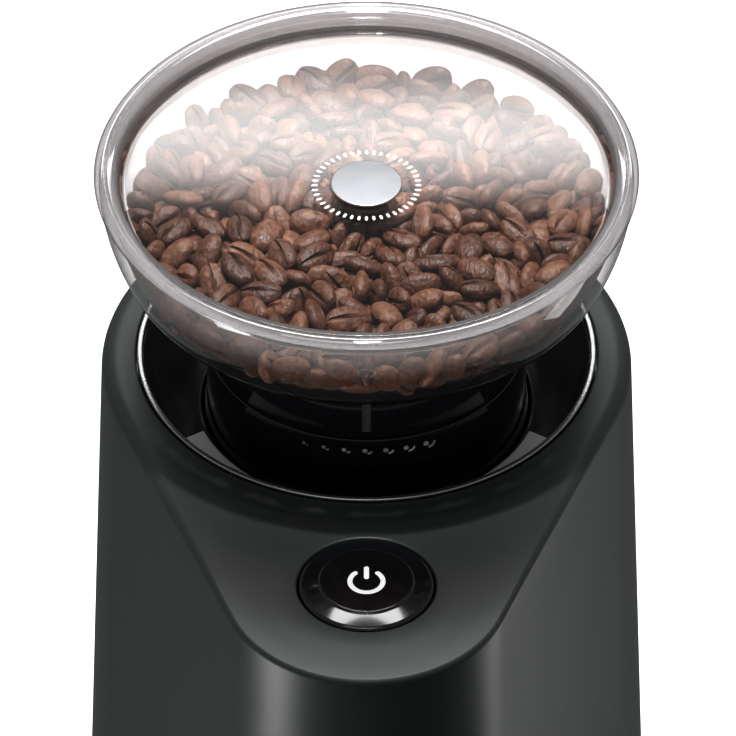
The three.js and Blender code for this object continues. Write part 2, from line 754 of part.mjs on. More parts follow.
// ---- Spindle: output wheel, sweeper, cone burr and its bolt -------------------------------------------

const spindle = subassembly();
const CONE_TOP = CONE_LOW + CONE_H;
const SWEEPER_Z = CHAMBER_FLOOR + 1.6;

place("burr_spindle", disc(SPINDLE_R, STAGE2_Z + 0.1, CONE_TOP - 2, 20), "steel", spindle);
place(
  "output_gear",
  cut(
    raised(gearOutline(WHEEL_TEETH, 180 / WHEEL_TEETH), STAGE2_Z, STAGE2_Z + WHEEL_H),
    disc(SPINDLE_R + GAP, STAGE2_Z - 5, STAGE2_Z + WHEEL_H + 5, 20),
  ),
  "nylon",
  spindle,
);

function sweeper() {
  const reach = CHAMBER_IN - 1.2;
  const paddles = [0, 60, 120].map((a) => block(-reach + 0.5, reach - 0.5, -1.5, 1.5, SWEEPER_Z, SWEEPER_Z + 7).rotate([0, 0, a]));
  const plate = disc(reach, SWEEPER_Z, SWEEPER_Z + 2.4, 20);
  return cut(
    join(plate, ...paddles),
    disc(CARRIER_R - 8, SWEEPER_Z + 4.4, SWEEPER_Z + 12, 24),
    disc(SPINDLE_R + GAP, SWEEPER_Z - 5, SWEEPER_Z + 12, 20),
  );
}

place("grounds_sweeper", sweeper(), "black", spindle);

function coneBurr() {
  const rows = [0, 0.12, 0.35, 0.65, 1].map((t) => {
    const tip = CONE_BASE_R + (CONE_TOP_R - CONE_BASE_R) * t;
    return [CONE_LOW + CONE_H * t, tip, tip - 1 - 2.2 * t];
  });
  return cut(
    fluted(10, rows, 40),
    disc(SPINDLE_R + GAP, CONE_LOW - 5, CONE_TOP + 5, 20),
  );
}

place("cone_burr", coneBurr(), "burr", spindle);
place(
  "burr_bolt",
  join(disc(6.5, CONE_TOP + GAP, CONE_TOP + 4.2, 6), disc(3, CONE_TOP - 2 + GAP, CONE_TOP + 1, 16)),
  "steel",
  spindle,
);

// ---- Adjuster: turned by the hopper, it screws the carrier and ring burr up and down --------------------

const adjuster = subassembly();
const TONGUE_IN = BURR_R + 1.3;
const TONGUE_OUT = CARRIER_R - 0.5;
const TONGUE_HALF = 3;
const LUG_HALF = 3;
const LUG_Z = ADJUSTER_TOP - 5.4;
const LUG_OUT = SCALE_IN - 3;

function adjusterRing() {
  const low = ADJUSTER_LOW;
  const body = ring(THROAT_OUT + 4.5, SCALE_IN - RUNNING, low, ADJUSTER_TOP, 32);
  const tongues = [-1, 1].map((side) =>
    block(
      Math.min(side * TONGUE_IN, side * TONGUE_OUT),
      Math.max(side * TONGUE_IN, side * TONGUE_OUT),
      -TONGUE_HALF,
      TONGUE_HALF,
      CARRIER_TOP - 3,
      low + 0.5,
    ),
  );
  const notches = block(-LUG_HALF - 0.6, LUG_HALF + 0.6, -LUG_OUT - 0.6, LUG_OUT + 0.6, LUG_Z - 0.6, ADJUSTER_TOP + 1);
  return cut(join(body, ...tongues), notches);
}

place("fineness_adjuster", adjusterRing(), "black", adjuster);

const carrier = subassembly();

function burrCarrier() {
  const low = RING_BURR_TOP - BURR_H + 1.5;
  const body = turned(
    [
      [BURR_R + GAP, low],
      [CARRIER_R, low],
      [CARRIER_R, CARRIER_TOP],
      [BURR_R - 4, CARRIER_TOP],
      [BURR_R - 4, RING_BURR_TOP + GAP],
      [BURR_R + GAP, RING_BURR_TOP + GAP],
    ],
    28,
  );
  const slots = block(-CARRIER_R - 2, CARRIER_R + 2, -TONGUE_HALF - 0.4, TONGUE_HALF + 0.4, CARRIER_TOP - 4, CARRIER_TOP + 1);
  const between = disc(TONGUE_IN - 0.4, CARRIER_TOP - 10, CARRIER_TOP + 5, 32);
  return cut(body, cut(slots, between));
}

place("burr_carrier", burrCarrier(), "black", carrier);

function ringBurr() {
  const low = RING_BURR_TOP - BURR_H;
  const lowR = CONE_BASE_R - ((low - CONE_LOW) * (CONE_BASE_R - CONE_TOP_R)) / CONE_H + BURR_GAP;
  const rows = [-0.02, 0.2, 0.5, 1.02].map((t) => {
    const bore = lowR - 1.8 * t + 0.9 * t * t;
    return [low + BURR_H * t, bore + 1.1 + 1.6 * t, bore];
  });
  return cut(disc(BURR_R, low, RING_BURR_TOP, 28), fluted(16, rows, -14));
}

place("ring_burr", ringBurr(), "burr", carrier);

// ---- Hopper: clear bowl, black neck with its pointer, and the shutter in its throat ----------------------

const hopper = subassembly();

function hopperBowl() {
  const w = BOWL_WALL;
  const outside = [
    [BOWL_R, RIM_Z],
    [BOWL_R - 0.3, RIM_Z - 0.25 * BOWL_H],
    [BOWL_R - 1.9, RIM_Z - 0.6 * BOWL_H],
    [BOWL_FOOT_R, FOOT_Z],
    [BOWL_FOOT_R - 3.3, FOOT_Z - 3],
    [SEAT_R, NECK_TOP + GAP],
  ];
  const inside = [
    [SEAT_R, NECK_TOP + GAP + w + 0.5],
    [BOWL_FOOT_R - 3.8, FOOT_Z - 0.4],
    [BOWL_FOOT_R - 1.9, FOOT_Z + 1.2],
    [BOWL_R - 4.4, RIM_Z - 0.6 * BOWL_H],
    [BOWL_R - 2.7, RIM_Z - 0.28 * BOWL_H],
    [BOWL_R - 2.7, RIM_Z],
  ];
  return turned([...outside, ...inside], 36);
}

place("hopper_bowl", hopperBowl(), "clear", hopper);

// The funnel hangs inside the neck. Its two lugs drop into the adjuster's notches, so the hopper turns it.
function hopperThroat() {
  const funnel = turned(
    [
      [SEAT_R - GAP, NECK_TOP + 3.2],
      [SEAT_R - GAP, NECK_TOP + 0.5],
      [THROAT_OUT, THROAT_TOP],
      [THROAT_OUT, THROAT_LOW],
      [THROAT_R, THROAT_LOW],
      [THROAT_R, THROAT_TOP + 0.4],
      [SEAT_R - GAP - 0.8, NECK_TOP + 3.2],
    ],
    36,
  );
  const lugs = cut(
    block(-LUG_HALF, LUG_HALF, -LUG_OUT, LUG_OUT, LUG_Z, ADJUSTER_TOP - 0.5),
    disc(THROAT_R + 0.6, LUG_Z - 5, ADJUSTER_TOP + 5, 36),
  );
  return join(funnel, lugs);
}

place("hopper_throat", hopperThroat(), "black", hopper);

// A window for beans to fall through, on one side of the rivet.
function beanWindow(side, low, high) {
  const [out, half] = [THROAT_R - 1.8, WINDOW_SPAN / 2];
  const sector = [...arc(0, 0, out, -half, half, 8), ...arc(0, 0, WINDOW_IN, half, -half, 4)];
  return raised(sector, low - 1, high + 1).rotate([0, 0, side > 0 ? 0 : 180]);
}

const windowed = (r, low, high) =>
  cut(disc(r, low, high, 28), beanWindow(1, low, high), beanWindow(-1, low, high), disc(2, low - 1, high + 1, 8));

place("hopper_web", windowed(THROAT_R - GAP, WEB_Z, WEB_Z + WEB_T), "black", hopper);

function hopperNeck() {
  const pointer = block(-1.1, 1.1, -NECK_R - 0.5, -NECK_R + 1, NECK_Z + 1.8, NECK_TOP - 5.5);
  return join(ring(NECK_R - NECK_WALL, NECK_R, NECK_Z, NECK_TOP, 36), pointer);
}

place("hopper_neck", hopperNeck(), "gloss", hopper);
place(
  "shutter_rivet",
  turned(
    [
      [0, SHUTTER_Z - 1.3],
      [3.4, SHUTTER_Z - 1.3],
      [3.4, SHUTTER_Z - 0.4],
      [1.7, SHUTTER_Z - 0.4],
      [1.7, WEB_Z + WEB_T + 0.3],
      [3.4, WEB_Z + WEB_T + 0.3],
      [3.4, WEB_Z + WEB_T + 1.2],
      [0, WEB_Z + WEB_T + 1.2],
    ],
    8,
  ),
  "steel",
  hopper,
);

const shutter = subassembly();
place("hopper_shutter", windowed(THROAT_R - RUNNING, SHUTTER_Z, SHUTTER_Z + SHUTTER_T), "black", shutter);

// ---- Lid -------------------------------------------------------------------------------------------------

const lid = subassembly();
const PLUG_R = BOWL_R - 2.7 - 0.8;
const RIM_IN = LID_R - LID_STEP;
const WIDEST_Z = RIM_Z + 0.8;
const GROOVE_Z = RIM_Z - 3.6;
const GROOVE_H = 2;

place(
  "hopper_lid",
  turned(
    [
      [0, PANEL_Z - LID_T],
      [PLUG_R, PANEL_Z - LID_T],
      [PLUG_R, GROOVE_Z],
      [PLUG_R - 1.3, GROOVE_Z],
      [PLUG_R - 1.3, GROOVE_Z + GROOVE_H],
      [PLUG_R, GROOVE_Z + GROOVE_H],
      [PLUG_R, RIM_Z + 0.4],
      [LID_R - 0.5, RIM_Z + 0.4],
      [LID_R, WIDEST_Z],
      [LID_R - 0.6, WIDEST_Z + 0.7 * LID_CROWN],
      [LID_R - 1.8, WIDEST_Z + LID_CROWN],
      [RIM_IN + 1, WIDEST_Z + 0.8 * LID_CROWN],
      [RIM_IN, WIDEST_Z],
      [RIM_IN - 0.6, PANEL_Z],
      [0, PANEL_Z],
    ],
    36,
  ),
  "clear",
  lid,
);
place("lid_seal", ring(PLUG_R - 1, PLUG_R + 0.5, GROOVE_Z + 0.3, GROOVE_Z + GROOVE_H - 0.3, 36), "rubber", lid);
place("lid_badge", disc(BADGE_R, PANEL_Z + GAP, PANEL_Z + GAP + 0.5, 24), "silver", lid);

// ---- Start button, guide, spring and switch -----------------------------------------------------------------

const nose = subassembly(0, -NOSE_Y, 0);
const CAP_LOW = TOP_Z - 4.5;
const STEM_LOW = GUIDE_Z + 6.8;
const FLOOR_Z = GUIDE_Z + 2;

place(
  "button_guide",
  turned(
    [
      [2.4, GUIDE_Z],
      [GUIDE_R + 2, GUIDE_Z],
      [GUIDE_R + 2, GUIDE_TOP],
      [GUIDE_R, GUIDE_TOP],
      [GUIDE_R, FLOOR_Z],
      [2.4, FLOOR_Z],
    ],
    20,
  ),
  "black",
  nose,
);
place(
  "start_switch",
  cut(block(-10, 10, -6, 6, GUIDE_Z - GAP - 12, GUIDE_Z - GAP), disc(2.2, GUIDE_Z - GAP - 4, GUIDE_Z + 1, 12)),
  "black",
  nose,
);

// The spring is a helix of round wire between the guide's floor and the cap.
class Helix extends THREE.Curve {
  constructor(radius, low, high, turns) {
    super();
    Object.assign(this, { radius, low, high, turns });
  }
  getPoint(t, target = new THREE.Vector3()) {
    const a = 2 * Math.PI * this.turns * t;
    return target.set(this.radius * Math.cos(a), this.radius * Math.sin(a), this.low + (this.high - this.low) * t);
  }
}

const SPRING_R = 5.4;
const WIRE_R = 0.45;
const SPRING_TURNS = 4.5;
const wireSection = new THREE.Shape(arc(0, 0, WIRE_R, 0, 270, 3).map(([x, y]) => new THREE.Vector2(x, y)));
place(
  "button_spring",
  solid(
    new THREE.ExtrudeGeometry(wireSection, {
      steps: Math.round(SPRING_TURNS * 8),
      extrudePath: new Helix(SPRING_R, FLOOR_Z + WIRE_R + 0.6, TOP_Z - 2.4 - WIRE_R - 0.6, SPRING_TURNS),
    }),
  ),
  "steel",
  nose,
);

const button = subassembly(0, -NOSE_Y, 0);
place(
  "start_button",
  turned(
    [
      [0, TOP_Z + BUTTON_RISE],
      [BUTTON_FACE_R, TOP_Z + BUTTON_RISE],
      [BUTTON_R, TOP_Z + 0.1],
      [BUTTON_R, CAP_LOW],
      [BUTTON_R - 1.8, CAP_LOW],
      [BUTTON_R - 1.8, TOP_Z - 2.4],
      [3, TOP_Z - 2.4],
      [3, STEM_LOW],
      [0, STEM_LOW],
    ],
    24,
  ),
  "gloss",
  button,
);
place("switch_plunger", disc(1.6, GUIDE_Z - 1.6, STEM_LOW - GAP, 12), "nylon", button);

// ---- Motor, fan and the frame that carries the drive -----------------------------------------------------------

const rotor = subassembly();
const BELL_H = 3.4;
const BUSH_R = 6;
const shaftLow = MOTOR_Z - 16;

place(
  "motor_case",
  turned(
    [
      [BUSH_R + GAP, MOTOR_TOP],
      [MOTOR_R, MOTOR_TOP],
      [MOTOR_R, MOTOR_Z + BELL_H + GAP],
      [MOTOR_R - 1.6, MOTOR_Z + BELL_H + GAP],
      [MOTOR_R - 1.6, MOTOR_TOP - 3],
      [BUSH_R + GAP, MOTOR_TOP - 3],
    ],
    24,
  ),
  "zinc",
);
place("motor_end_bell", ring(BUSH_R + GAP, MOTOR_R, MOTOR_Z, MOTOR_Z + BELL_H, 24), "zinc");
place("motor_bush_upper", ring(MOTOR_SHAFT_R + GAP, BUSH_R, MOTOR_TOP - 5, MOTOR_TOP - 0.3, 12), "brass");
place("motor_bush_lower", ring(MOTOR_SHAFT_R + GAP, BUSH_R, MOTOR_Z, MOTOR_Z + 5, 12), "brass");
place("motor_field", ring(MOTOR_R - 9, MOTOR_R - 1.9, MOTOR_Z + 12, MOTOR_TOP - 14, 20), "copper");

function motorArmature() {
  const stack = raised(
    Array.from({ length: 24 }, (_, i) => {
      const r = i % 4 < 3 ? MOTOR_R - 10.2 : MOTOR_R - 15;
      return [r * Math.cos(15 * i * RAD), r * Math.sin(15 * i * RAD)];
    }),
    MOTOR_Z + 13,
    MOTOR_TOP - 15,
  );
  return join(disc(MOTOR_SHAFT_R, shaftLow, STAGE1_Z + WHEEL_H, 16), stack, disc(9, MOTOR_Z + 6, MOTOR_Z + 13.5, 20));
}

place("motor_armature", motorArmature(), "copper", rotor);
place(
  "motor_pinion",
  cut(
    raised(gearOutline(PINION_TEETH, 90), STAGE1_Z - 1, STAGE1_Z + WHEEL_H + 0.5),
    disc(MOTOR_SHAFT_R + GAP, STAGE1_Z - 5, STAGE1_Z + WHEEL_H + 5, 16),
  ),
  "brass",
  rotor,
);

function motorFan() {
  const low = shaftLow + 2;
  const blades = [0, 45, 90, 135].map((a) => block(-FAN_R + 1, FAN_R - 1, -0.7, 0.7, low, low + 9).rotate([0, 0, a]));
  return cut(
    join(disc(FAN_R, low, low + 1.6, 20), disc(6, low, low + 10, 12), ...blades),
    disc(MOTOR_SHAFT_R + GAP, low - 5, low + 20, 16),
  );
}

place("motor_fan", motorFan(), "black", rotor);

function driveFrame() {
  const floor = PAN_Z + PAN_FLOOR + GAP;
  const reach = MOTOR_R + 11;
  const legs = [90, 210, 330].map((a) =>
    block(reach - LEG_T, reach, -LEG_W / 2, LEG_W / 2, floor, FRAME_TOP).rotate([0, 0, a]),
  );
  const feet = [90, 210, 330].map((a) =>
    block(reach - LEG_T - 4, reach + 2, -LEG_W / 2 - 2, LEG_W / 2 + 2, floor, floor + 2).rotate([0, 0, a]),
  );
  const plate = ring(MOTOR_SHAFT_R + 4, reach, FRAME_TOP - FRAME_T, FRAME_TOP, 24);
  return join(plate, ...legs, ...feet);
}

place("drive_frame", driveFrame(), "steel");

// Power and control board, upright behind the motor.
function controlBoard() {
  const low = GLAND_Z + 34;
  const high = low + 84;
  const y = wallAt(high) - WALL - 13.5;
  return join(
    block(-24, 24, y, y + 1.6, low, high),
    block(-20, 2, y + 1, y + 9, low + 8, low + 32),
    block(6, 20, y + 1, y + 7.5, low + 48, low + 66),
    rodY(5, y + 1, y + 9, 12, low + 18, 14),
    rodY(4, y + 1, y + 8, -13, low + 50, 12),
  );
}

place("control_board", controlBoard(), "board");

export default grinder;
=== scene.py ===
import json
import math

import bpy
import numpy as np
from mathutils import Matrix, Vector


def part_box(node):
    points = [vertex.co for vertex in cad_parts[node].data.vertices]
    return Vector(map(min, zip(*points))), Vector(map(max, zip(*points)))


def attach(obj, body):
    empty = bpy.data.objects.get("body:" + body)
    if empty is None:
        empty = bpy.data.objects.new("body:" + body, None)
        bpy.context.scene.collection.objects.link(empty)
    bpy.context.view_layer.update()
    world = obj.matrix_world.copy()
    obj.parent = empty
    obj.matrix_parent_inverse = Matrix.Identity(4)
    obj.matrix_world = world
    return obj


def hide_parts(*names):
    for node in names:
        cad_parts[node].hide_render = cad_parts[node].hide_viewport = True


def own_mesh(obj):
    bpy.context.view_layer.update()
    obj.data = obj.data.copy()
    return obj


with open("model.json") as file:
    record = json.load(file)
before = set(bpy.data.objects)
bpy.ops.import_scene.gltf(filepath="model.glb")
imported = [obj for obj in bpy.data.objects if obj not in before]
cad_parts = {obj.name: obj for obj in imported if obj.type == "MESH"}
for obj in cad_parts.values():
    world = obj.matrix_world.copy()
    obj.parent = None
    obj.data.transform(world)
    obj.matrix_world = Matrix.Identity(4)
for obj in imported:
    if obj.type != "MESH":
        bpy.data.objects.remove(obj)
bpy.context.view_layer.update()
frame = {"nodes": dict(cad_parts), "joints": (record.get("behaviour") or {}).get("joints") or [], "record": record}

# ---- Camera ----
# A long lens looks down on the hopper and the start button from the front. The burr axis, on which
# everything round in the grinder sits, and the flat top of the housing are the two places used throughout.
MM = 0.001


def node_box(node):
    """The lowest and highest corners of a CAD node, in millimetres."""
    low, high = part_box(node)
    return np.array(low) / MM, np.array(high) / MM


AXIS_Y = float(sum(corner[1] for corner in node_box("hopper_lid"))) / 2
TOP_Z = float(node_box("housing_shell")[1][2])
VIEW_ELEVATION = math.radians(40.6)
VIEW_DISTANCE = 2149
AIM = np.array([0.34, AXIS_Y - 6.2, TOP_Z])

lens = bpy.data.cameras.new("camera")
lens.lens = 464.7
lens.sensor_width = 36
lens.clip_end = 30
camera = bpy.data.objects.new("camera", lens)
away = np.array([0, -math.cos(VIEW_ELEVATION), math.sin(VIEW_ELEVATION)])
camera.location = (AIM + away * VIEW_DISTANCE) * MM
camera.rotation_euler = (math.pi / 2 - VIEW_ELEVATION, 0, 0)
bpy.context.scene.collection.objects.link(camera)
bpy.context.scene.camera = camera


# ---- Worktop and studio light ----
# A pale worktop, lit from behind so that it is white where it is seen. Two upright strips draw lines down
# the housing's sides, two low boxes behind lie as a haze across the lid, and a snoot above and a thin card
# in front bring out the beans.
class Wire:
    """A shader socket that takes part in sums: every operator adds a Math node."""

    def __init__(self, finish, socket):
        self.finish, self.socket = finish, socket

    def math(self, operation, *values):
        return self.finish.node("Math", {"operation": operation}, dict(enumerate(values)))

    def __add__(self, other):
        return self.math("ADD", self, other)

    def __sub__(self, other):
        return self.math("SUBTRACT", self, other)

    def __rsub__(self, other):
        return self.math("SUBTRACT", other, self)

    def __mul__(self, other):
        return self.math("MULTIPLY", self, other)

    def __pow__(self, other):
        return self.math("POWER", self, other)

    __radd__ = __add__
    __rmul__ = __mul__


class Finish:
    """A material being mixed from nodes. Patterns are laid out on Object coordinates, in metres."""

    def __init__(self, name):
        self.material = bpy.data.materials.new(name)
        self.material.use_nodes = True
        self.tree = self.material.node_tree
        self.tree.nodes.clear()
        self.place = self.node("TexCoord", {}, {}, "Object")

    def node(self, kind, settings, inputs, output=0):
        """Adds a node: its settings come first, then the values or wires of its sockets."""
        made = self.tree.nodes.new("ShaderNode" + kind)
        for key, value in settings.items():
            if key == "stops":
                ramp = made.color_ramp.elements
                while len(ramp) < len(value):
                    ramp.new(1)
                for stop, (position, shade) in zip(ramp, value):
                    stop.position, stop.color = position, (*shade, 1)
            else:
                setattr(made, key, value)
        for key, value in inputs.items():
            socket = made.inputs[key]
            if isinstance(value, Wire):
                self.tree.links.new(value.socket, socket)
            else:
                socket.default_value = (*value, 1) if socket.type == "RGBA" else value
        return Wire(self, made.outputs[output]) if made.outputs else None

    def noise(self, size, detail=2, stretch=(1, 1, 1)):
        """Cloudy noise whose patches are about size millimetres wide, drawn out by stretch."""
        scale = [1 / (size * MM * s) for s in stretch]
        place = self.node("Mapping", {}, {"Vector": self.place, "Scale": scale})
        return self.node("TexNoise", {}, {"Vector": place, "Scale": 1, "Detail": detail})

    def mix(self, factor, one, other):
        return self.node("Mix", {"data_type": "RGBA"}, {0: factor, 6: one, 7: other}, 2)

    def shades(self, factor, colour, spread):
        """The colour, from darker to lighter by spread as factor goes from 0 to 1."""
        dark, light = ([c * s for c in colour] for s in (1 - spread, 1 + spread))
        return self.mix(factor, dark, light)

    def bump(self, height, depth):
        """A relief of depth millimetres where height goes from 0 to 1."""
        return self.node("Bump", {}, {"Height": height, "Distance": depth * MM})

    def done(self, shader):
        self.node("OutputMaterial", {}, {"Surface": shader})
        return self.material

    def principled(self, inputs):
        return self.done(self.node("BsdfPrincipled", {}, inputs))


def softbox(name, width, height, place, target, power, spread=180, mirrored=True):
    """A lamp of width by height, in millimetres, at place and turned to face target. Its light keeps
    within the spread, in degrees. One that isn't mirrored leaves no reflection of itself."""
    data = bpy.data.lights.new(name, "AREA")
    data.shape = "RECTANGLE"
    data.size, data.size_y = width * MM, height * MM
    data.energy = power
    data.spread = math.radians(spread)
    lamp = bpy.data.objects.new(name, data)
    here, there = np.array(place, float), np.array(target, float)
    lamp.location = here * MM
    lamp.rotation_euler = Vector(there - here).to_track_quat("-Z", "Y").to_euler()
    lamp.visible_camera = False
    lamp.visible_glossy = mirrored
    bpy.context.scene.collection.objects.link(lamp)


# Seen directly, the worktop and what lies beyond it are nearly white. The grinder sees them darker, as if
# black cards stood round it.
WORKTOP_R = 6000
WORKTOP_GLOW, ROOM_LIGHT, ROOM_SEEN = 0.5, 0.16, 0.9
plate = bpy.data.meshes.new("worktop")
turn = np.linspace(0, 2 * math.pi, 64, endpoint=False)
rim = np.stack([np.cos(turn), np.sin(turn), 0 * turn], -1) * WORKTOP_R * MM
plate.from_pydata(rim.tolist(), [], [list(range(len(rim)))])
laminate = Finish("pale_laminate")
seen = laminate.node("LightPath", {}, {})
pale = laminate.shades(laminate.noise(180, 3), (0.93, 0.93, 0.93), 0.01)
dull = laminate.node("BsdfDiffuse", {}, {"Color": (0.095, 0.1, 0.1)})
white = laminate.node(
    "BsdfPrincipled",
    {},
    {
        "Base Color": pale,
        "Roughness": 0.9,
        "Specular IOR Level": 0.0,
        "Emission Color": (1, 1, 1),
        "Emission Strength": WORKTOP_GLOW,
    },
)
plate.materials.append(laminate.done(laminate.node("MixShader", {}, {0: seen, 1: dull, 2: white})))
worktop = bpy.data.objects.new("worktop", plate)
bpy.context.scene.collection.objects.link(worktop)

world = bpy.data.worlds.new("studio")
world.use_nodes = True
room = world.node_tree
room.nodes["Background"].inputs["Color"].default_value = (1, 1, 1, 1)
ray = room.nodes.new("ShaderNodeLightPath")
strength = room.nodes.new("ShaderNodeMapRange")
strength.inputs["To Min"].default_value = ROOM_LIGHT
strength.inputs["To Max"].default_value = ROOM_SEEN
room.links.new(ray.outputs["Is Camera Ray"], strength.inputs["Value"])
room.links.new(strength.outputs["Result"], room.nodes["Background"].inputs["Strength"])
bpy.context.scene.world = world
bpy.context.scene.view_settings.view_transform = "Standard"

HAZE_PLACE = np.array([0, AXIS_Y + 18, 311.0])
HAZE_FAR = 900
MIRRORED = (HAZE_PLACE - AIM - away * VIEW_DISTANCE) * [1, 1, -1]
MIRRORED /= np.linalg.norm(MIRRORED)
softbox("backdrop_light", 1500, 500, (0, 750, 1200), (0, 400, 0), 10, 110, False)
for name, behind, depth, power in [("haze_box", 0, 27, 0.33), ("haze_behind", 26, 40, 0.19)]:
    lies = HAZE_PLACE + [0, behind, 0]
    softbox(name, 560, depth, lies + MIRRORED * HAZE_FAR, lies, power)
softbox("rear_box", 520, 300, (0, AXIS_Y + 520, 1280), (0, AXIS_Y - 60, 262), 6.0)
softbox("left_strip", 110, 260, (-330, -190, 40), (-40, -90, 150), 0.42, 110)
softbox("right_strip", 90, 260, (300, 40, 40), (40, -90, 150), 0.1, 110)
softbox("top_box", 420, 320, (-60, AXIS_Y - 200, 1100), (0, AXIS_Y, 310), 0.12, 70)
softbox("front_card", 900, 40, (0, -1000, 560), (0, AXIS_Y - 60, 303), 0.09, 4, False)
SNOOT_Z, SNOOT_FALL, SNOOT_R = 1300, 1000, 66
snoot = bpy.data.lights.new("bean_snoot", "SPOT")
snoot.energy = 140
snoot.spot_size = 2 * math.atan(SNOOT_R / SNOOT_FALL)
snoot.spot_blend = 0.35
snoot.shadow_soft_size = 0.05
spot = bpy.data.objects.new("bean_snoot", snoot)
spot.location = (0, (AXIS_Y + 20) * MM, SNOOT_Z * MM)
spot.visible_camera = False
bpy.context.scene.collection.objects.link(spot)


# ---- Housing ----
# One tall moulding in satin anthracite with a fine spark-eroded grain. Its plan is a large round back and
# a small round nose joined by straight flanks, and it widens towards the foot so that it leaves the mould.
BACK_R, NOSE_R, NOSE_AHEAD = 60.0, 32.0, 79.5
LEAN = math.asin((BACK_R - NOSE_R) / NOSE_AHEAD)
FLARE = 0.0378 / 60
WALL, TOP_WALL = 2.5, 3.0
BOTTOM_Z = float(node_box("housing_shell")[0][2])
BAY_HALF, BAY_LOW, BAY_HIGH = 33.0, 19.0, 131.0
EDGE = 0.8
VENT_HALF, VENT_TIP, VENT_LOW, VENT_PITCH, VENTS = 17.0, 1.1, 45.1, 5.5, 6
GLAND_HALF, GLAND_Z = 5.6, 24.0
WELL_R, BUTTON_HOLE_R = 52.3, 15.4
ANTHRACITE = (0.019, 0.0235, 0.0225)


def grid_faces(rows, columns, around=True):
    """The quads of a grid of points; around also joins the last column to the first."""
    row, column = np.meshgrid(np.arange(rows - 1), np.arange(columns - (not around)), indexing="ij")
    after = (column + 1) % columns
    corners = [row * columns + column, row * columns + after]
    corners += [corners[1] + columns, corners[0] + columns]
    return np.stack(corners, -1).reshape(-1, 4)


def welded(points, quads):
    """Triangles for the quads, with points that coincide merged and faces that collapse left out.
    Returns the kept points' indices and the triangles that use them."""
    _, first, where = np.unique(np.round(points, 3), axis=0, return_index=True, return_inverse=True)
    faces = first[where.ravel()][np.concatenate([quads[:, [0, 1, 2]], quads[:, [0, 2, 3]]])]
    faces = faces[np.all(faces != np.roll(faces, 1, axis=1), axis=1)]
    kept, where = np.unique(faces, return_inverse=True)
    return kept, where.reshape(-1, 3)


def shell(outer, inner, quads):
    """A closed wall from two skins with the same grid: the outer, the inner turned over, and a strip
    from one to the other along every edge that only one face uses."""
    kept, faces = welded(outer, quads)
    sides = np.concatenate([faces[:, [0, 1]], faces[:, [1, 2]], faces[:, [2, 0]]])
    _, where, uses = np.unique(np.sort(sides), axis=0, return_inverse=True, return_counts=True)
    a, b = sides[uses[where.ravel()] == 1].T
    n = len(kept)
    strips = np.concatenate([np.stack([b, a, a + n], -1), np.stack([b, a + n, b + n], -1)])
    points = np.concatenate([outer[kept], inner[kept]])
    return points, np.concatenate([faces, faces[:, ::-1] + n, strips])


def piece(name, points, faces, material, crisp=30):
    """A mesh object from points in millimetres. Edges that turn by more than crisp degrees stay sharp."""
    mesh = bpy.data.meshes.new(name)
    mesh.from_pydata((points * MM).tolist(), [], faces.tolist())
    mesh.materials.append(material)
    mesh.shade_smooth()
    mesh.set_sharp_from_angle(angle=math.radians(crisp))
    made = bpy.data.objects.new(name, mesh)
    bpy.context.scene.collection.objects.link(made)
    return made


def fitted(made, body, slot, *nodes):
    """Hangs a piece on its body and puts it in place of CAD nodes. The slot is not used."""
    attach(made, body)
    if nodes:
        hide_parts(*nodes)
    return made


def moulded(name, colour, roughness, grain=0.006, coat=0.0):
    """Moulded plastic: an eroded grain a quarter of a millimetre wide, and slow patches of sheen."""
    finish = Finish(name)
    patches = finish.noise(30, 3)
    return finish.principled(
        {
            "Base Color": finish.shades(patches, colour, 0.12),
            "Roughness": patches * 0.08 + (roughness - 0.04),
            "Normal": finish.bump(finish.noise(0.28, 2), grain),
            "Coat Weight": coat,
            "Coat Roughness": 0.04,
        }
    )


def outline(s, k):
    """Plan of the housing where it is widened k times: the point and its outward normal at a length s
    from the middle of the nose, round the nose, along the flank and round the back."""
    nose = NOSE_R * k * (math.pi / 2 - LEAN)
    flank = NOSE_AHEAD * math.cos(LEAN) * k
    round_back = (s - nose - flank) / (BACK_R * k) - LEAN
    angle = np.where(s < nose, s / (NOSE_R * k) - math.pi / 2, np.maximum(round_back, -LEAN))
    normal = np.stack([np.cos(angle), np.sin(angle)], -1)
    ahead = np.stack([0 * s, -NOSE_AHEAD * k], -1) + NOSE_R * k[..., None] * normal
    along = np.array([math.sin(LEAN), math.cos(LEAN)])
    ahead += np.clip(s - nose, 0, flank)[..., None] * along
    return np.where((s > nose + flank)[..., None], BACK_R * k[..., None] * normal, ahead), normal


def knots(k):
    """The lengths s at which columns of the grid must fall: the edges of the bay, flank, vents and gland."""
    nose = NOSE_R * k * (math.pi / 2 - LEAN)
    flank = NOSE_AHEAD * math.cos(LEAN) * k
    turn_x = NOSE_R * k * math.cos(LEAN)

    def in_front(x):
        on_nose = NOSE_R * k * np.arcsin(np.minimum(x / (NOSE_R * k), 1))
        return np.where(x < turn_x, on_nose, nose + (x - turn_x) / math.sin(LEAN))

    def behind(x):
        return nose + flank + BACK_R * k * (np.arccos(x / (BACK_R * k)) + LEAN)

    back = [behind(x) for x in (VENT_HALF, VENT_HALF - VENT_TIP, GLAND_HALF, 0)]
    return np.stack([0 * k, in_front(BAY_HALF), in_front(BAY_HALF + EDGE), nose + flank, *back])


def rolled(distance, size):
    """How far a skin curls in at a distance from a free edge that is rounded over size."""
    return size - np.sqrt(size**2 - np.clip(size - distance, 0, size) ** 2)


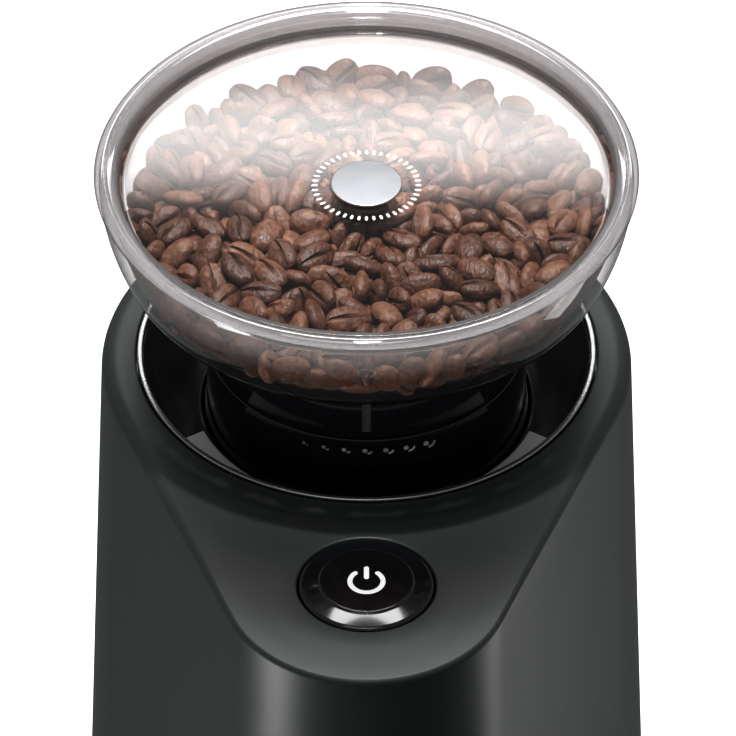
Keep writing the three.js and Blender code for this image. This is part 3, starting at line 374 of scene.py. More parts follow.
COLUMNS = [36, 4, 26, 48, 5, 5, 4]
steps = [i + np.arange(n) / n for i, n in enumerate(COLUMNS)]
half = np.concatenate([*steps, [len(COLUMNS)]])
column = np.concatenate([half, half[-2:0:-1]])
side = np.concatenate([np.ones(len(half)), -np.ones(len(half) - 2)])
edge_steps = EDGE * np.array([0, 0.06, 0.25, 0.55, 1])
vents = VENT_LOW + VENT_PITCH * np.arange(VENTS)
levels = [
    BOTTOM_Z + edge_steps, [9, 14], BAY_LOW - edge_steps, [GLAND_Z - GLAND_HALF, GLAND_Z + GLAND_HALF],
    [36, 82, 94, 106, 118], BAY_HIGH + edge_steps, np.repeat(vents, 2),
]
levels = np.sort(np.concatenate(levels))
in_vent = np.isin(levels, vents)
bulge = np.where(in_vent, -1.0, 0.0)
bulge[np.flatnonzero(in_vent)[1::2]] = 1
vent_height = VENT_TIP * np.sqrt(1 - np.clip(5 - column, 0, 1) ** 2)
z_low = levels[:, None] + bulge[:, None] * vent_height

top_round = np.interp(column, [0, 2, 3, 4], [1.35, 1.5, 3.6, 4.6])
up = np.linspace(0, 1, 15)[1:, None]
z_mid = levels[-1] + (TOP_Z - top_round - levels[-1]) * up
lean_over = np.linspace(0, math.pi / 2, 9)[1:, None]
z_high = TOP_Z - top_round * (1 - np.sin(lean_over))
z = np.concatenate([z_low, z_mid, z_high])
k = 1 + FLARE * (TOP_Z - z)
between = np.minimum(column.astype(int), len(COLUMNS) - 1)
place = knots(k)
pick = np.arange(len(column))
low_knot, high_knot = place[between, :, pick].T, place[between + 1, :, pick].T
s = low_knot + (high_knot - low_knot) * (column - between)
plan, normal = outline(s, k)

beyond_x = np.maximum(plan[..., 0] - BAY_HALF, 0)
beyond_z = np.maximum(np.maximum(BAY_LOW - z, z - BAY_HIGH), 0)
inward = np.where(column < 3, rolled(np.hypot(beyond_x, beyond_z), EDGE), 0)
inward = np.maximum(inward, rolled(z - BOTTOM_Z, EDGE))
inward[-len(z_high):] += top_round * (1 - np.cos(lean_over))
mirror = np.stack([side, np.ones_like(side)], -1)


def skinned(inward, z):
    """Points of a skin that lies inward of the outline by so much, at those heights."""
    flat = (plan - normal * inward[..., None]) * mirror + [0, AXIS_Y]
    return np.concatenate([flat, np.broadcast_to(z, s.shape)[..., None]], -1)


outside = skinned(inward, z)
inside = skinned(np.maximum(inward, WALL), np.minimum(z, TOP_Z - TOP_WALL))
quads = grid_faces(*z.shape)
all_levels = np.append(levels, [TOP_Z] * (len(z) - len(levels)))
cell_level = (all_levels[:-1] + all_levels[1:]) / 2
mid_column = (column + np.roll(column, -1)) / 2
is_bay = (abs(cell_level - (BAY_LOW + BAY_HIGH) / 2) < (BAY_HIGH - BAY_LOW) / 2)[:, None] & (mid_column < 1)
is_gland = (abs(cell_level - GLAND_Z) < GLAND_HALF)[:, None] & (mid_column > 6)
slot_rows = np.append(bulge, [0] * (len(z) - len(levels)))
is_vent = ((slot_rows[:-1] < 0) & (slot_rows[1:] > 0))[:, None] & (mid_column > 4)
skins = [(outside, inside, quads[~(is_bay | is_gland | is_vent).ravel()])]


def land(loop, under, centre_y, radius, edge=0.5):
    """The flat top between a loop of the outline and a round hole: rings that go over from one to the
    other, then a rounded edge. under is the loop on the underside."""
    centre = np.array([0, centre_y])
    ray = loop - centre
    ray /= np.linalg.norm(ray, axis=1, keepdims=True)
    share = np.linspace(0, 1, 4)[:, None, None]
    bend = np.linspace(0, math.pi / 2, 5)[1:, None, None]
    circle = centre + ray * (radius + edge)
    edge_ring = centre + ray * (radius + edge * (1 - np.sin(bend)))
    above = np.concatenate([loop * (1 - share) + circle * share, edge_ring])
    below = np.concatenate([under * (1 - share) + circle * share, edge_ring])
    drop = np.concatenate([0 * share, edge * (1 - np.cos(bend))]) * np.ones((1, len(loop), 1))
    above = np.concatenate([above, TOP_Z - drop], -1)
    below = np.concatenate([below, 0 * drop + TOP_Z - TOP_WALL], -1)
    return above, below, grid_faces(len(above), len(loop))


SPLIT_Y = -58
turn_off = int(np.argmin(abs(plan[-1, : len(half), 1] - SPLIT_Y)))
ends = len(column) - turn_off
chord = np.linspace(1, -1, 25)[1:-1, None]
across = outside[-1, turn_off, :2] * [1, 0] * chord + outside[-1, turn_off, :2] * [0, 1]
front_loop = np.arange(-turn_off, turn_off + 1)
back_loop = np.arange(turn_off, ends + 1)
for loop, chord_points, centre_y, radius in [
    (front_loop, across, AXIS_Y - NOSE_AHEAD, BUTTON_HOLE_R),
    (back_loop, across[::-1], AXIS_Y, WELL_R),
]:
    above_loop = np.concatenate([outside[-1, loop, :2], chord_points])
    below_loop = np.concatenate([inside[-1, loop, :2], chord_points])
    skins.append(land(above_loop, below_loop, centre_y, radius))

starts = np.cumsum([0] + [a[0].shape[0] * a[0].shape[1] for a in skins])
housing = piece(
    "housing",
    *shell(
        np.concatenate([a.reshape(-1, 3) for a, _, _ in skins]),
        np.concatenate([b.reshape(-1, 3) for _, b, _ in skins]),
        np.concatenate([q + start for (_, _, q), start in zip(skins, starts)]),
    ),
    moulded("satin_anthracite", ANTHRACITE, 0.42, 0.005),
)
fitted(housing, "base", "anthracite", "housing_shell")


# ---- Base pan, feet and lead bush ----
# A black ribbed pan closes the housing from below and is held by four screws. It stands on four soft feet
# pressed into it. The bush in the back is where the mains lead goes in.
def softened(corners, steps=6):
    """A closed outline with rounded corners. Each corner (x, y, size) becomes a quadratic curve that
    leaves its two sides size away from the corner, or half way along a side that is too short."""
    corners = np.array(corners, float)
    points, size = corners[:, :2], corners[:, 2:]

    def towards(neighbour):
        side = neighbour - points
        length = np.linalg.norm(side, axis=1, keepdims=True)
        return points + side / length * np.minimum(size, 0.49 * length)

    start, end = towards(np.roll(points, 1, 0)), towards(np.roll(points, -1, 0))
    t = np.linspace(0, 1, steps)[:, None, None]
    curve = (1 - t) ** 2 * start + 2 * t * (1 - t) * points + t**2 * end
    return np.swapaxes(curve, 0, 1).reshape(-1, 2)


def turned(corners, segments=144, centre=(0, AXIS_Y), steps=6):
    """A lathed body: each point (r, z) of the softened outline is carried round a circle of radius r
    about an upright axis."""
    profile = softened(corners, steps)
    x, y = profile.T
    if np.sum(x * np.roll(y, -1) - np.roll(x, -1) * y) < 0:
        profile = profile[::-1]
    profile = np.concatenate([profile, profile[:1]])
    turn = np.linspace(0, 2 * math.pi, segments, endpoint=False)
    points = np.zeros((len(profile), segments, 3))
    points[..., 0] = profile[:, :1] * np.cos(turn) + centre[0]
    points[..., 1] = profile[:, :1] * np.sin(turn) + centre[1]
    points[..., 2] = profile[:, 1:]
    kept, faces = welded(points.reshape(-1, 3), grid_faces(len(profile), segments))
    return points.reshape(-1, 3)[kept], faces


rubber = moulded("matt_rubber", (0.016, 0.016, 0.017), 0.7, 0.012)
for foot in ["foot_front_left", "foot_front_right", "foot_rear_left", "foot_rear_right"]:
    low, high = node_box(foot)
    reach = (high[0] - low[0]) / 2
    pad = [(0, 0, 0), (reach, 0, 0.9), (reach, 2.7, 0.5), (3.9, 2.7, 0), (3.9, high[2], 0.5), (0, high[2], 0)]
    middle = (low + high)[:2] / 2
    fitted(piece(foot + "_pad", *turned(pad, 48, middle), rubber), "base", "rubber", foot)

low, high = node_box("cord_gland")
gland_low, gland_high = low[1] - AXIS_Y, high[1] - AXIS_Y
bush = [
    (3.4, gland_low, 0.3), (8.4, gland_low, 0.5), (8.4, gland_low + 3.1, 0.3), (6, gland_low + 3.1, 0),
    (6, gland_high - 2.4, 0), (8, gland_high - 2.4, 0.3), (7, gland_high, 0.8), (3.4, gland_high, 0.6),
]
points, faces = turned(bush, 64, (0, 0))
laid = np.stack([-points[:, 0], points[:, 2] + AXIS_Y, points[:, 1] + GLAND_Z], -1)
fitted(piece("lead_bush", laid, faces, rubber), "base", "rubber", "cord_gland")


# ---- Well under the hopper ----
# A bright ring sets off a glossy black dish that is sunk into the top. Two flat plates lie as its floor,
# anthracite by slot but coloured pale grey: painted light, for the light that falls on that dark floor. The
# cup in its middle carries seven printed grind marks, from a small dot to a fat one with a crescent, for fine to
# coarse.
def glossy(name, colour, roughness=0.09):
    """High-gloss moulding: hardly any grain, a faint long waviness, and a clear hard surface."""
    finish = Finish(name)
    waves = finish.noise(30, 0)
    return finish.principled(
        {
            "Base Color": finish.shades(finish.noise(25, 2), colour, 0.1),
            "Roughness": finish.noise(6, 3) * 0.05 + (roughness - 0.02),
            "Normal": finish.bump(waves, 0.004),
            "Coat Weight": 0.4,
            "Coat Roughness": 0.05,
        }
    )


def metal(name, colour, roughness, stretch=(1, 1, 1), relief=0.004):
    """Worked metal: tool marks drawn out by stretch shade its colour, sheen and relief."""
    finish = Finish(name)
    marks = finish.noise(0.5, 3, stretch)
    return finish.principled(
        {
            "Base Color": finish.shades(marks, colour, 0.12),
            "Metallic": 1.0,
            "Roughness": marks * 0.16 + (roughness - 0.08),
            "Normal": finish.bump(marks, relief),
        }
    )


gloss_black = glossy("gloss_black", (0.0045, 0.005, 0.006))
silver = metal("satin_silver", (0.62, 0.63, 0.65), 0.24, (1, 1, 12), 0.001)
low, high = node_box("well_trim_ring")
ring = [(50.8, low[2], 0.2), (52, low[2], 0.2), (52, high[2], 0.35), (50.8, high[2], 0.35)]
fitted(piece("trim_ring", *turned(ring, 192), silver), "base", "silver", "well_trim_ring")
dish = [
    (37.4, 247.6, 0.8), (40.6, 249.2, 4), (47.6, 256.2, 4), (50.5, 262, 0.3), (50.7, 258.7, 0),
    (56, 258.7, 0.4), (56, 256.7, 0.4), (49.7, 256.7, 2), (38.9, 245.2, 0.6), (37.4, 245.2, 0.4),
]
dish_black = glossy("dish_black", (0.006, 0.0065, 0.0075), 0.3)
fitted(piece("dish", *turned(dish, 192), dish_black), "base", "gloss_black", "well_dish")
SCALE_R = 36.2
cup = [
    (32, 240, 0.3), (36.9, 240, 0.3), (36.9, 248, 0.5), (SCALE_R, 249, 0.6), (SCALE_R, 266.4, 0.5),
    (33.8, 266.4, 0.5), (33.8, 245, 0.4), (32, 245, 0.4),
]
fitted(piece("scale_cup", *turned(cup, 192), gloss_black), "base", "gloss_black", "fineness_scale_ring")


def stroke(line, half_width, thick=0.08):
    """A flat inked line along points (u, v): half as wide as half_width each way, with round ends. It
    returns an upper and a lower skin, u and v with the height w above the printed surface."""
    step = np.gradient(line, axis=0)
    step /= np.linalg.norm(step, axis=1, keepdims=True)
    across = np.stack([-step[:, 1], step[:, 0]], -1)
    run = np.concatenate([[0], np.cumsum(np.linalg.norm(np.diff(line, axis=0), axis=1))])
    from_end = np.minimum(run, run[-1] - run)
    near = np.clip(1 - from_end / half_width, 0, 1)
    width = half_width * np.sqrt(1 - near**2)
    v = np.linspace(-1, 1, 5)[:, None, None]
    flat = line + across * width[:, None] * v
    top = np.concatenate([flat, np.full((*flat.shape[:2], 1), thick)], -1)
    under = top * [1, 1, 0] - [0, 0, thick]
    return top.reshape(-1, 3), under.reshape(-1, 3), grid_faces(5, len(line), False)


def blob(u, v, size):
    """A round dot as a short fat stroke."""
    line = np.stack([u + size * np.cos(np.linspace(math.pi, 0, 13)), np.full(13, v)], -1)
    return stroke(line, size)


MARKS, MARK_STEP, MARK_Z = 7, math.radians(7.4), 263.3
printed = []
for i in range(MARKS):
    grow = i / (MARKS - 1)
    middle = (i - (MARKS - 1) / 2) * MARK_STEP
    curl = np.linspace(-0.55 * math.pi, (-0.3 + 0.35 * grow) * math.pi, 16)
    bow = (0.55 + 0.75 * grow) * np.stack([np.cos(curl), np.sin(curl)], -1) + [0.35, 0.15]
    for top, under, quads in [blob(-0.35, 0, 0.42 + 0.2 * grow), stroke(bow, 0.16 + 0.12 * grow)]:
        points, faces = shell(top, under, quads)
        angle = middle + points[:, 0] / SCALE_R
        radius = SCALE_R + points[:, 2]
        wrapped = [radius * np.sin(angle), AXIS_Y - radius * np.cos(angle), MARK_Z + points[:, 1]]
        printed.append((np.stack(wrapped, -1), faces))


def joined(parts):
    """One set of points and faces from several."""
    starts = np.cumsum([0] + [len(points) for points, _ in parts])
    faces = np.concatenate([faces + start for (_, faces), start in zip(parts, starts)])
    return np.concatenate([points for points, _ in parts]), faces


grey_print = moulded("grey_print", (0.3, 0.31, 0.32), 0.5, 0.002)
fitted(piece("grind_marks", *joined(printed), grey_print), "base", "white_print")

# The plates lie left and right ahead of the cup, between its foot, a circle of FOOT_R whose middle is
# FOOT_AHEAD of the axis, and the dish.
PLATE_FROM, PLATE_TO = math.radians(20), math.radians(58)
PLATE_R, PLATE_Z, PLATE_THICK = 48.2, 257.7, 0.8
FOOT_R, FOOT_AHEAD = 39.2, 9.0
plates = []
for start, end in [(-PLATE_TO, -PLATE_FROM), (PLATE_FROM, PLATE_TO)]:
    turn = np.linspace(start, end, 40)[:, None]
    ahead = FOOT_AHEAD * np.cos(turn)
    foot = ahead + np.sqrt(ahead**2 - FOOT_AHEAD**2 + FOOT_R**2)
    foot = np.minimum(foot, PLATE_R - 0.02)
    radius = foot + (PLATE_R - foot) * np.linspace(0, 1, 6)
    flat = [radius * np.sin(turn), AXIS_Y - radius * np.cos(turn), PLATE_Z + 0 * radius]
    top = np.stack(flat, -1).reshape(-1, 3)
    plates.append(shell(top, top - [0, 0, PLATE_THICK], grid_faces(40, 6, False)))
# Painted light: the plates' pale grey stands for light falling on the anthracite floor, not for its colour.
painted_lit_grey = moulded("painted_lit_plate", (0.42, 0.44, 0.44), 0.45, 0.004)
fitted(piece("well_floor_painted_light", *joined(plates), painted_lit_grey), "base", "anthracite")


# ---- Start button ----
# A glossy black cap with a flat face inside a sloping rim. It carries the usual standby sign in white print,
# which is given a faint painted glow, and rises on a wire spring, which it shares with the plunger of the switch
# below.
low, high = node_box("start_button")
BUTTON_Y = (low[1] + high[1]) / 2
FACE_Z = high[2]
cap = [
    (0, FACE_Z, 0), (10.3, FACE_Z, 0.35), (10.6, FACE_Z - 0.35, 0.3), (14.9, FACE_Z - 1.15, 0.9),
    (15.1, FACE_Z - 2.6, 0.6), (15.1, 257.5, 0.3), (13.3, 257.5, 0.2), (13.3, 259.6, 0.2), (3, 259.6, 0.3),
    (3, 246.5, 0.3), (0, 246.5, 0),
]
button = piece("start_cap", *turned(cap, 128, (0, BUTTON_Y)), gloss_black)
fitted(button, "button", "gloss_black", "start_button")
SIGN_R, SIGN_HALF = 3.65, 0.54
turn = np.radians(np.linspace(90 + 33, 90 + 327, 64))
arc = SIGN_R * np.stack([np.cos(turn), np.sin(turn)], -1)
bar = np.stack([np.zeros(15), np.linspace(0.7, 4.9, 15)], -1)
sign = []
for top, under, quads in [stroke(arc, SIGN_HALF, 0.06), stroke(bar, SIGN_HALF, 0.06)]:
    points, faces = shell(top, under, quads)
    sign.append((points + [0, BUTTON_Y - 0.3, FACE_Z], faces))
glowing_sign_paint = Finish("white_print")
white_print = glowing_sign_paint.principled(
    {
        "Base Color": glowing_sign_paint.shades(glowing_sign_paint.noise(0.6, 2), (0.93, 0.94, 0.94), 0.04),
        "Roughness": glowing_sign_paint.noise(0.4, 2) * 0.15 + 0.4,
        # Painted light: the printed white glows a little, though no lamp lies behind it.
        "Emission Color": (1.0, 1.0, 1.0),
        "Emission Strength": 0.4,
    }
)
fitted(piece("standby_sign", *joined(sign), white_print), "button", "white_print")

# The spring is a round wire along a helix, whose turns lie closer at both ends. It is fixed below; how much
# shorter the button's travel would make it is worked out, but it is not made shorter.
low, high = node_box("button_spring")
WIRE_R, SPRING_TURNS, RING_STEPS, WIRE_STEPS = 0.45, 4.5, 10, 170
COIL_R = (high[0] - low[0]) / 2 - WIRE_R
run = np.linspace(0, 1, WIRE_STEPS)[:, None]
coil = 2 * math.pi * SPRING_TURNS * run
outward = np.stack([np.cos(coil), np.sin(coil), 0 * coil], -1)
rise = low[2] + WIRE_R + (high[2] - low[2] - 2 * WIRE_R) * (3 * run**2 - 2 * run**3)
middle = np.array([0, BUTTON_Y, 0]) + COIL_R * outward + rise[..., None] * [0, 0, 1]
about = np.linspace(0, 2 * math.pi, RING_STEPS, endpoint=False)[None, :, None]
wire = WIRE_R * ((run > 0) & (run < 1))[..., None]
points = (middle + wire * (np.cos(about) * outward + np.sin(about) * [0, 0, 1])).reshape(-1, 3)
kept, faces = welded(points, grid_faces(WIRE_STEPS, RING_STEPS))
spring = piece("coil_spring", points[kept], faces[:, ::-1], metal("spring_steel", (0.46, 0.47, 0.48), 0.3))
fitted(spring, "base", "steel", "button_spring")
travel = next(joint["range_m"][1] for joint in frame["joints"] if joint["name"] == "start_press") / MM
pressed = 1 - travel / (high[2] - low[2])
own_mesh(spring)


# ---- Hopper ----
# A clear bowl stands on a glossy black neck with a small pointer rib. The black throat inside carries the
# slotted web, the rivet and the shutter, and its two lugs turn the adjuster when the hopper is turned.
def clear(name, tint, edge_tint, roughness=0.03, strength=1.0, pale_share=0.0, between=None):
    """Clear moulding: light goes straight through, darkened by tint face on and by edge_tint at a
    grazing angle, where more of the plastic lies in its way; the rest is mirrored, by Schlick's rule.
    A further share is a flat pale grey mixed in: painted light, standing in for pale reflections. It sets in
    between two heights, where they are given."""
    finish = Finish(name)
    slant = finish.node("LayerWeight", {}, {"Blend": 0.5}, 1)
    face_on = finish.node("BsdfTransparent", {}, {"Color": tint})
    grazing = finish.node("BsdfTransparent", {}, {"Color": edge_tint})
    through = finish.node("MixShader", {}, {0: slant**1.6, 1: face_on, 2: grazing})
    if between:
        height = finish.node("SeparateXYZ", {}, {"Vector": finish.place}, 2)
        low, high = between
        rise = {"Value": height, "From Min": low * MM, "From Max": high * MM, "To Max": pale_share}
        pale_share = finish.node("MapRange", {}, rise)
    painted_pale = finish.node("BsdfDiffuse", {}, {"Color": (0.74, 0.72, 0.72)})
    inside = finish.node("MixShader", {}, {0: pale_share, 1: through, 2: painted_pale})
    sheen = finish.noise(20, 2) * 0.02 + roughness
    gloss = finish.node("BsdfGlossy", {"distribution": "BECKMANN"}, {"Color": (1, 1, 1), "Roughness": sheen})
    mirrored = slant**5 * (0.96 * strength) + 0.04 * strength
    return finish.done(finish.node("MixShader", {}, {0: mirrored, 1: inside, 2: gloss}))


RIM_Z = float(node_box("hopper_bowl")[1][2])
bowl_outside = [(59.8, RIM_Z, 0.3), (59.5, 308, 4), (57.9, 301, 4), (54.8, 293, 3.4), (51.5, 290, 2.5)]
bowl_inside = [(51, 292.6, 2.2), (52.9, 294.2, 2.4), (55.4, 301, 3), (57.1, 307.4, 3), (57.1, RIM_Z, 0.3)]
floor_hole = [(34.2, 284.35, 0.3), (34.2, 287.2, 0.3)]
# The pale band between 303 and 310 mm on the bowl's upper wall is painted reflection.
bowl_clear = clear("clear_bowl", (0.93, 0.915, 0.905), (0.42, 0.40, 0.40), 0.04, 1.2, 0.13, (303, 310))
bowl = piece("bowl", *turned(bowl_outside + floor_hole + bowl_inside, 192), bowl_clear)
fitted(bowl, "hopper", "clear_plastic", "hopper_bowl")

low, high = node_box("hopper_neck")
collar = [(34, low[2], 0.4), (36.2, low[2], 0.5), (36.2, high[2], 0.5), (34, high[2], 0.4)]
neck = piece("neck", *turned(collar, 192), gloss_black)
fitted(neck, "hopper", "gloss_black", "hopper_neck")
POINTER_HALF, POINTER_OUT = 1.1, 0.55
across = np.array([-1, -0.8, -0.5, 0.5, 0.8, 1]) * POINTER_HALF
height = np.array([0, 0.35, 0.9, 8.8, 9.35, 9.7]) + 268.8
bulge_x = POINTER_OUT * np.array([0, 0.75, 1, 1, 0.75, 0])
bulge_z = np.array([0, 0.75, 1, 1, 0.75, 0])
angle = across / SCALE_R
radius = SCALE_R - 0.1 + bulge_z[:, None] * bulge_x
rib = np.stack([radius * np.sin(angle), AXIS_Y - radius * np.cos(angle), height[:, None] + 0 * radius], -1)
back = (rib - [0, AXIS_Y, 0]) * [0.985, 0.985, 1] + [0, AXIS_Y, 0]
points, faces = shell(rib.reshape(-1, 3), back.reshape(-1, 3), grid_faces(6, 6, False))
pointer_grey = moulded("pointer_grey", (0.035, 0.036, 0.038), 0.3, 0.002)
fitted(piece("pointer_rib", points, faces, pointer_grey), "hopper", "gloss_black")


# ---- Coffee beans ----
# Roasted beans fill the bowl to just under the lid. They are dropped in and pushed apart until they lie
# on each other and on the wall, as real ones do, and then stay as one heap that lifts off with the hopper.
BEANS = 800
BEAN_HALF = np.array([4.95, 3.3, 2.3])
LUMP_R = 2.1
LUMPS = np.array([(2.75, 0, 0), (-2.75, 0, 0), (0, 1.15, 0), (0, -1.15, 0)])
HEAP_TOP = 307.6
WALL_LINE = np.array(
    [(57.1, 313), (57.1, 307.4), (55.4, 301), (52.9, 294.2), (51, 292.6), (33, 287.4), (0, 287.4)]
)


def settled(count, rounds, seed=5):
    """Places and turns of the beans after they have dropped. Each bean is four balls held in its shape:
    every round lowers all balls a little, parts those that overlap, keeps them off the wall, the floor
    and the lid, and then fits each bean's own shape to its balls again. Last, most of those that lie with the
    crease below are rolled over, which leaves their balls in the same places."""
    rng = np.random.default_rng(seed)
    radius = 50 * np.sqrt(rng.random(count))
    angle = 2 * math.pi * rng.random(count)
    centre = np.stack([radius * np.cos(angle), radius * np.sin(angle), 290 + 50 * rng.random(count)], -1)
    turns, _ = np.linalg.qr(rng.normal(size=(count, 3, 3)))
    turns *= np.sign(np.linalg.det(turns))[:, None, None]
    balls = centre[:, None] + LUMPS @ np.swapaxes(turns, 1, 2)
    edge = np.diff(WALL_LINE, axis=0)
    facing = np.stack([edge[:, 1], -edge[:, 0]], -1) / np.linalg.norm(edge, axis=1, keepdims=True)
    facing = np.concatenate([facing, [(0, -1)]])
    anchors = np.concatenate([WALL_LINE[:-1], [(0, HEAP_TOP)]])
    for step in range(rounds):
        if step % 8 == 0:
            gap = centre[:, None] - centre[None]
            first, second = np.nonzero(np.triu(np.einsum("ijk,ijk->ij", gap, gap) < 13.5**2, 1))
        balls[..., 2] -= 0.45 if step < 0.7 * rounds else 0.12
        for _ in range(2):
            apart = balls[first][:, :, None] - balls[second][:, None]
            distance = np.linalg.norm(apart, axis=-1) + 1e-9
            push = np.clip(2 * LUMP_R - distance, 0, None) * 0.5
            shove = apart * (push / distance)[..., None] * 0.7
            np.add.at(balls, first, shove.sum(2))
            np.add.at(balls, second, -shove.sum(1))
            across = np.linalg.norm(balls[..., :2], axis=-1)
            for (nr, nz), (r0, z0) in zip(facing, anchors):
                if nz == -1 and step < 0.5 * rounds:
                    continue
                depth = (across - r0) * nr + (balls[..., 2] - z0) * nz
                out = np.clip(LUMP_R - depth, 0, None)
                balls[..., :2] += (out * nr / np.maximum(across, 1e-6))[..., None] * balls[..., :2]
                balls[..., 2] += out * nz
                across = np.linalg.norm(balls[..., :2], axis=-1)
        centre = balls.mean(1)
        spread = np.swapaxes(balls - centre[:, None], 1, 2) @ LUMPS
        u, _, vt = np.linalg.svd(spread)
        flip = np.sign(np.linalg.det(u @ vt))
        u[:, :, 2] *= flip[:, None]
        turns = u @ vt
        balls = centre[:, None] + LUMPS @ np.swapaxes(turns, 1, 2)
    face_up = (turns[:, 2, 2] > 0) & (rng.random(count) < 0.6)
    turns[face_up, :, 1:] *= -1
    return centre, turns, rng


def bean_shape():
    """One bean: rings about its long axis, domed above, flatter below, with a crease pressed in along
    the flat side. Returns its points, its triangles and how deep in the crease each point lies."""
    along = np.linspace(0, math.pi, 9)[:, None]
    round_it = np.radians([-90, -78, -66, -40, -12, 15, 50, 90, 130, 165, 192, 220, 246, 258])[None]
    full = np.sin(along) ** 0.8
    x = BEAN_HALF[0] * np.cos(along) + 0 * round_it
    y = BEAN_HALF[1] * full * np.cos(round_it)
    tall = np.where(np.sin(round_it) > 0, BEAN_HALF[2], 0.72 * BEAN_HALF[2])
    z = tall * full * np.sin(round_it)
    crease = (abs(np.cos(round_it)) < 0.01) & (np.sin(round_it) < 0) & (full > 0.1)
    z = z + 0.85 * crease
    y = y + crease * 0.5 * np.sin(2 * along)
    points = np.stack([x, y, z - 0.2], -1).reshape(-1, 3)
    kept, faces = welded(points, grid_faces(9, 14))
    return points[kept], faces[:, ::-1], crease.ravel()[kept]


centre, turns, rng = settled(BEANS, 260)
shape, faces, crease = bean_shape()
size = 0.93 + 0.12 * rng.random((BEANS, 1, 1))
points = shape * size @ np.swapaxes(turns, 1, 2) + centre[:, None] + [0, AXIS_Y, 0]
all_faces = (faces + len(shape) * np.arange(BEANS)[:, None, None]).reshape(-1, 3)
roast = Finish("roasted_coffee")
shade = roast.node("Attribute", {"attribute_name": "shade"}, {}, 2)
crease_shade = roast.node("Attribute", {"attribute_name": "crease"}, {}, 2)
skin = roast.noise(1.3, 5)
wrinkles = roast.noise(0.9, 3, (1, 1.6, 1))
brown = roast.node(
    "ValToRGB",
    {"stops": [(0.0, (0.03, 0.012, 0.008)), (0.45, (0.10, 0.038, 0.021)), (1.0, (0.25, 0.115, 0.066))]},
    {0: shade * 0.5 + (skin - 0.5) * 1.5 + 0.22},
)
coffee = roast.principled(
    {
        # Painted shade: the crease is darkened towards near black, as shade would fall in it.
        "Base Color": roast.mix(crease_shade * 0.6, brown, (0.02, 0.009, 0.006)),
        "Roughness": skin * 0.5 + 0.2,
        "Normal": roast.bump(wrinkles, 0.45),
    }
)
heap = piece("coffee_beans", points.reshape(-1, 3), all_faces, coffee, 50)
for name, values in [("shade", np.repeat(rng.random(BEANS), len(shape))), ("crease", np.tile(crease, BEANS))]:
    layer = heap.data.attributes.new(name, "FLOAT", "POINT")
    layer.data.foreach_set("value", values.astype(np.float32))
fitted(heap, "hopper", "coffee_bean")


# ---- Lid ----
# A clear lid with a fat smoked rim that grips the bowl over a soft seal and has a shallow groove along its
# crest. A satin disc with a ring of fine dashes sits in the middle of its sunken panel, which is flat up to
# its edge.
low, high = node_box("hopper_lid")
UNDER_Z, PANEL_Z, CREST_Z = low[2], low[2] + 2, high[2]
lid_line = [
    (0, UNDER_Z, 0), (55.6, UNDER_Z, 0), (56.3, UNDER_Z, 0.2), (56.3, UNDER_Z + 1, 0.1),
    (55, UNDER_Z + 1, 0.1), (55, UNDER_Z + 3, 0.1), (56.3, UNDER_Z + 3, 0.1), (56.3, RIM_Z + 0.4, 0.2),
    (60.5, RIM_Z + 0.4, 0.3), (61, 314, 0.4), (60.4, 315.1, 0.7), (59.2, CREST_Z, 0.5),
    (58.5, CREST_Z, 0.15), (58.2, CREST_Z - 0.35, 0.1), (57.9, CREST_Z, 0.15), (56.2, 315.3, 0.8),
    (55.2, 313.8, 0.8), (54.6, PANEL_Z, 0.8), (53.6, PANEL_Z, 0), (0, PANEL_Z, 0),
]
lid_clear = clear("clear_lid", (0.96, 0.955, 0.95), (0.30, 0.28, 0.29), 0.058)
# The rim's pale grey share brightens it as a painted highlight; its stronger mirror is real reflection.
smoked_rim = clear("smoked_rim", (0.62, 0.605, 0.61), (0.14, 0.13, 0.14), 0.05, 3.0, 0.07)
lid = piece("lid", *turned(lid_line, 192), lid_clear)
lid.data.materials.append(smoked_rim)
middles = np.zeros(len(lid.data.polygons) * 3)
lid.data.polygons.foreach_get("center", middles)
across = np.hypot(middles[::3] / MM, middles[1::3] / MM - AXIS_Y)
lid.data.polygons.foreach_set("material_index", (across > 54.5).astype(int))
fitted(lid, "lid", "clear_plastic", "hopper_lid")
low, high = node_box("lid_seal")
loop = [(55.3, low[2], 0.6), (56.8, low[2], 0.6), (56.8, high[2], 0.6), (55.3, high[2], 0.6)]
seal_rubber = moulded("grey_seal", (0.09, 0.09, 0.095), 0.5, 0.004)
fitted(piece("seal", *turned(loop, 192), seal_rubber), "lid", "rubber", "lid_seal")
low, high = node_box("lid_badge")
disc = [(0, low[2], 0), (8, low[2], 0.1), (8, high[2], 0.3), (0, high[2], 0)]
badge_silver = metal("badge_silver", (0.30, 0.305, 0.32), 0.36, (12, 1, 1), 0.002)
fitted(piece("badge", *turned(disc, 96), badge_silver), "lid", "silver", "lid_badge")
DASHES, DASH_R = 44, 11.6
dashes = []
for i in range(DASHES):
    angle = 2 * math.pi * i / DASHES
    spoke = np.linspace(DASH_R - 0.75, DASH_R + 0.75, 7)[:, None] * [math.cos(angle), math.sin(angle)]
    points, faces = shell(*stroke(spoke, 0.3, 0.05))
    dashes.append((points + [0, AXIS_Y, PANEL_Z], faces))
pale_print = moulded("pale_print", (0.42, 0.41, 0.405), 0.5, 0.001)
fitted(piece("dash_ring", *joined(dashes), pale_print), "lid", "white_print")


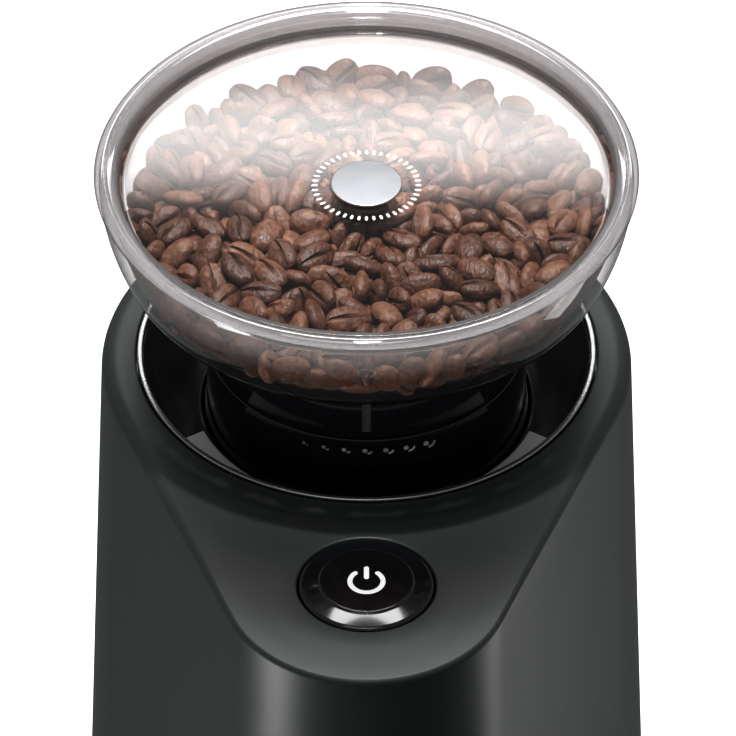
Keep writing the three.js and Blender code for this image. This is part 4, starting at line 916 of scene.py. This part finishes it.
# ---- Pieces inside, and the pieces that keep their first shape ----
# Everything below keeps the shape it was designed with and only gets its real finish: moulded, cast,
# turned, ground, wound or printed, as its material slot says.
def windings():
    """Lacquered copper wire laid in turns round an upright core: fine waves up the height, with the
    edges of the steel plates showing as dull bands between them."""
    finish = Finish("windings")
    turns = finish.node("TexWave", {"bands_direction": "Z"}, {"Vector": finish.place, "Scale": 620.0}, 1)
    plates = finish.noise(9, 2)
    return finish.principled(
        {
            "Base Color": finish.mix(turns * 0.6 + plates * 0.3, (0.40, 0.13, 0.045), (0.16, 0.05, 0.02)),
            "Metallic": 0.9,
            "Roughness": turns * 0.25 + 0.25,
            "Normal": finish.bump(turns, 0.15),
        }
    )


def circuit_board():
    """Green solder mask over a faint pattern of copper tracks, with tinned pads as small pale dots."""
    finish = Finish("circuit_board")
    tracks = finish.node("TexBrick", {}, {"Vector": finish.place, "Scale": 90.0, "Mortar Size": 0.06}, 1)
    pads = finish.node("TexVoronoi", {}, {"Vector": finish.place, "Scale": 260.0})
    dots = finish.node("Math", {"operation": "LESS_THAN"}, {0: pads, 1: 0.22})
    green = finish.mix(tracks, (0.012, 0.10, 0.04), (0.02, 0.20, 0.07))
    return finish.principled(
        {
            "Base Color": finish.mix(dots, green, (0.55, 0.56, 0.55)),
            "Metallic": dots * 0.8,
            "Roughness": 0.35 - dots * 0.1,
            "Normal": finish.bump(tracks + dots, 0.05),
        }
    )


smoked = clear("smoked_plastic", (0.30, 0.285, 0.28), (0.06, 0.055, 0.055), 0.06)
finishes = {
    "anthracite": moulded("anthracite_inside", ANTHRACITE, 0.5),
    "black_plastic": moulded("matt_black", (0.013, 0.013, 0.014), 0.52, 0.008),
    "gloss_black": gloss_black,
    "clear_plastic": bowl_clear,
    "smoked_plastic": smoked,
    "silver": silver,
    "steel": metal("plain_steel", (0.46, 0.47, 0.48), 0.34, (1, 1, 6)),
    "burr_steel": metal("ground_steel", (0.34, 0.34, 0.35), 0.28, (5, 1, 1), 0.006),
    "bronze": metal("sintered_bronze", (0.50, 0.33, 0.13), 0.42, (1, 1, 1), 0.008),
    "zinc": metal("cast_zinc", (0.40, 0.41, 0.42), 0.46, (1.5, 1.5, 1.5), 0.012),
    "rubber": rubber,
    "nylon": moulded("natural_nylon", (0.72, 0.69, 0.60), 0.45, 0.008),
    "windings": windings(),
    "circuit_board": circuit_board(),
}
slot_of = {part["node"]: part["material_slot"] for part in frame["record"]["subparts"]}
for name, node in frame["nodes"].items():
    node.data.materials.clear()
    node.data.materials.append(finishes[slot_of[name]])
    node.data.set_sharp_from_angle(angle=math.radians(35))
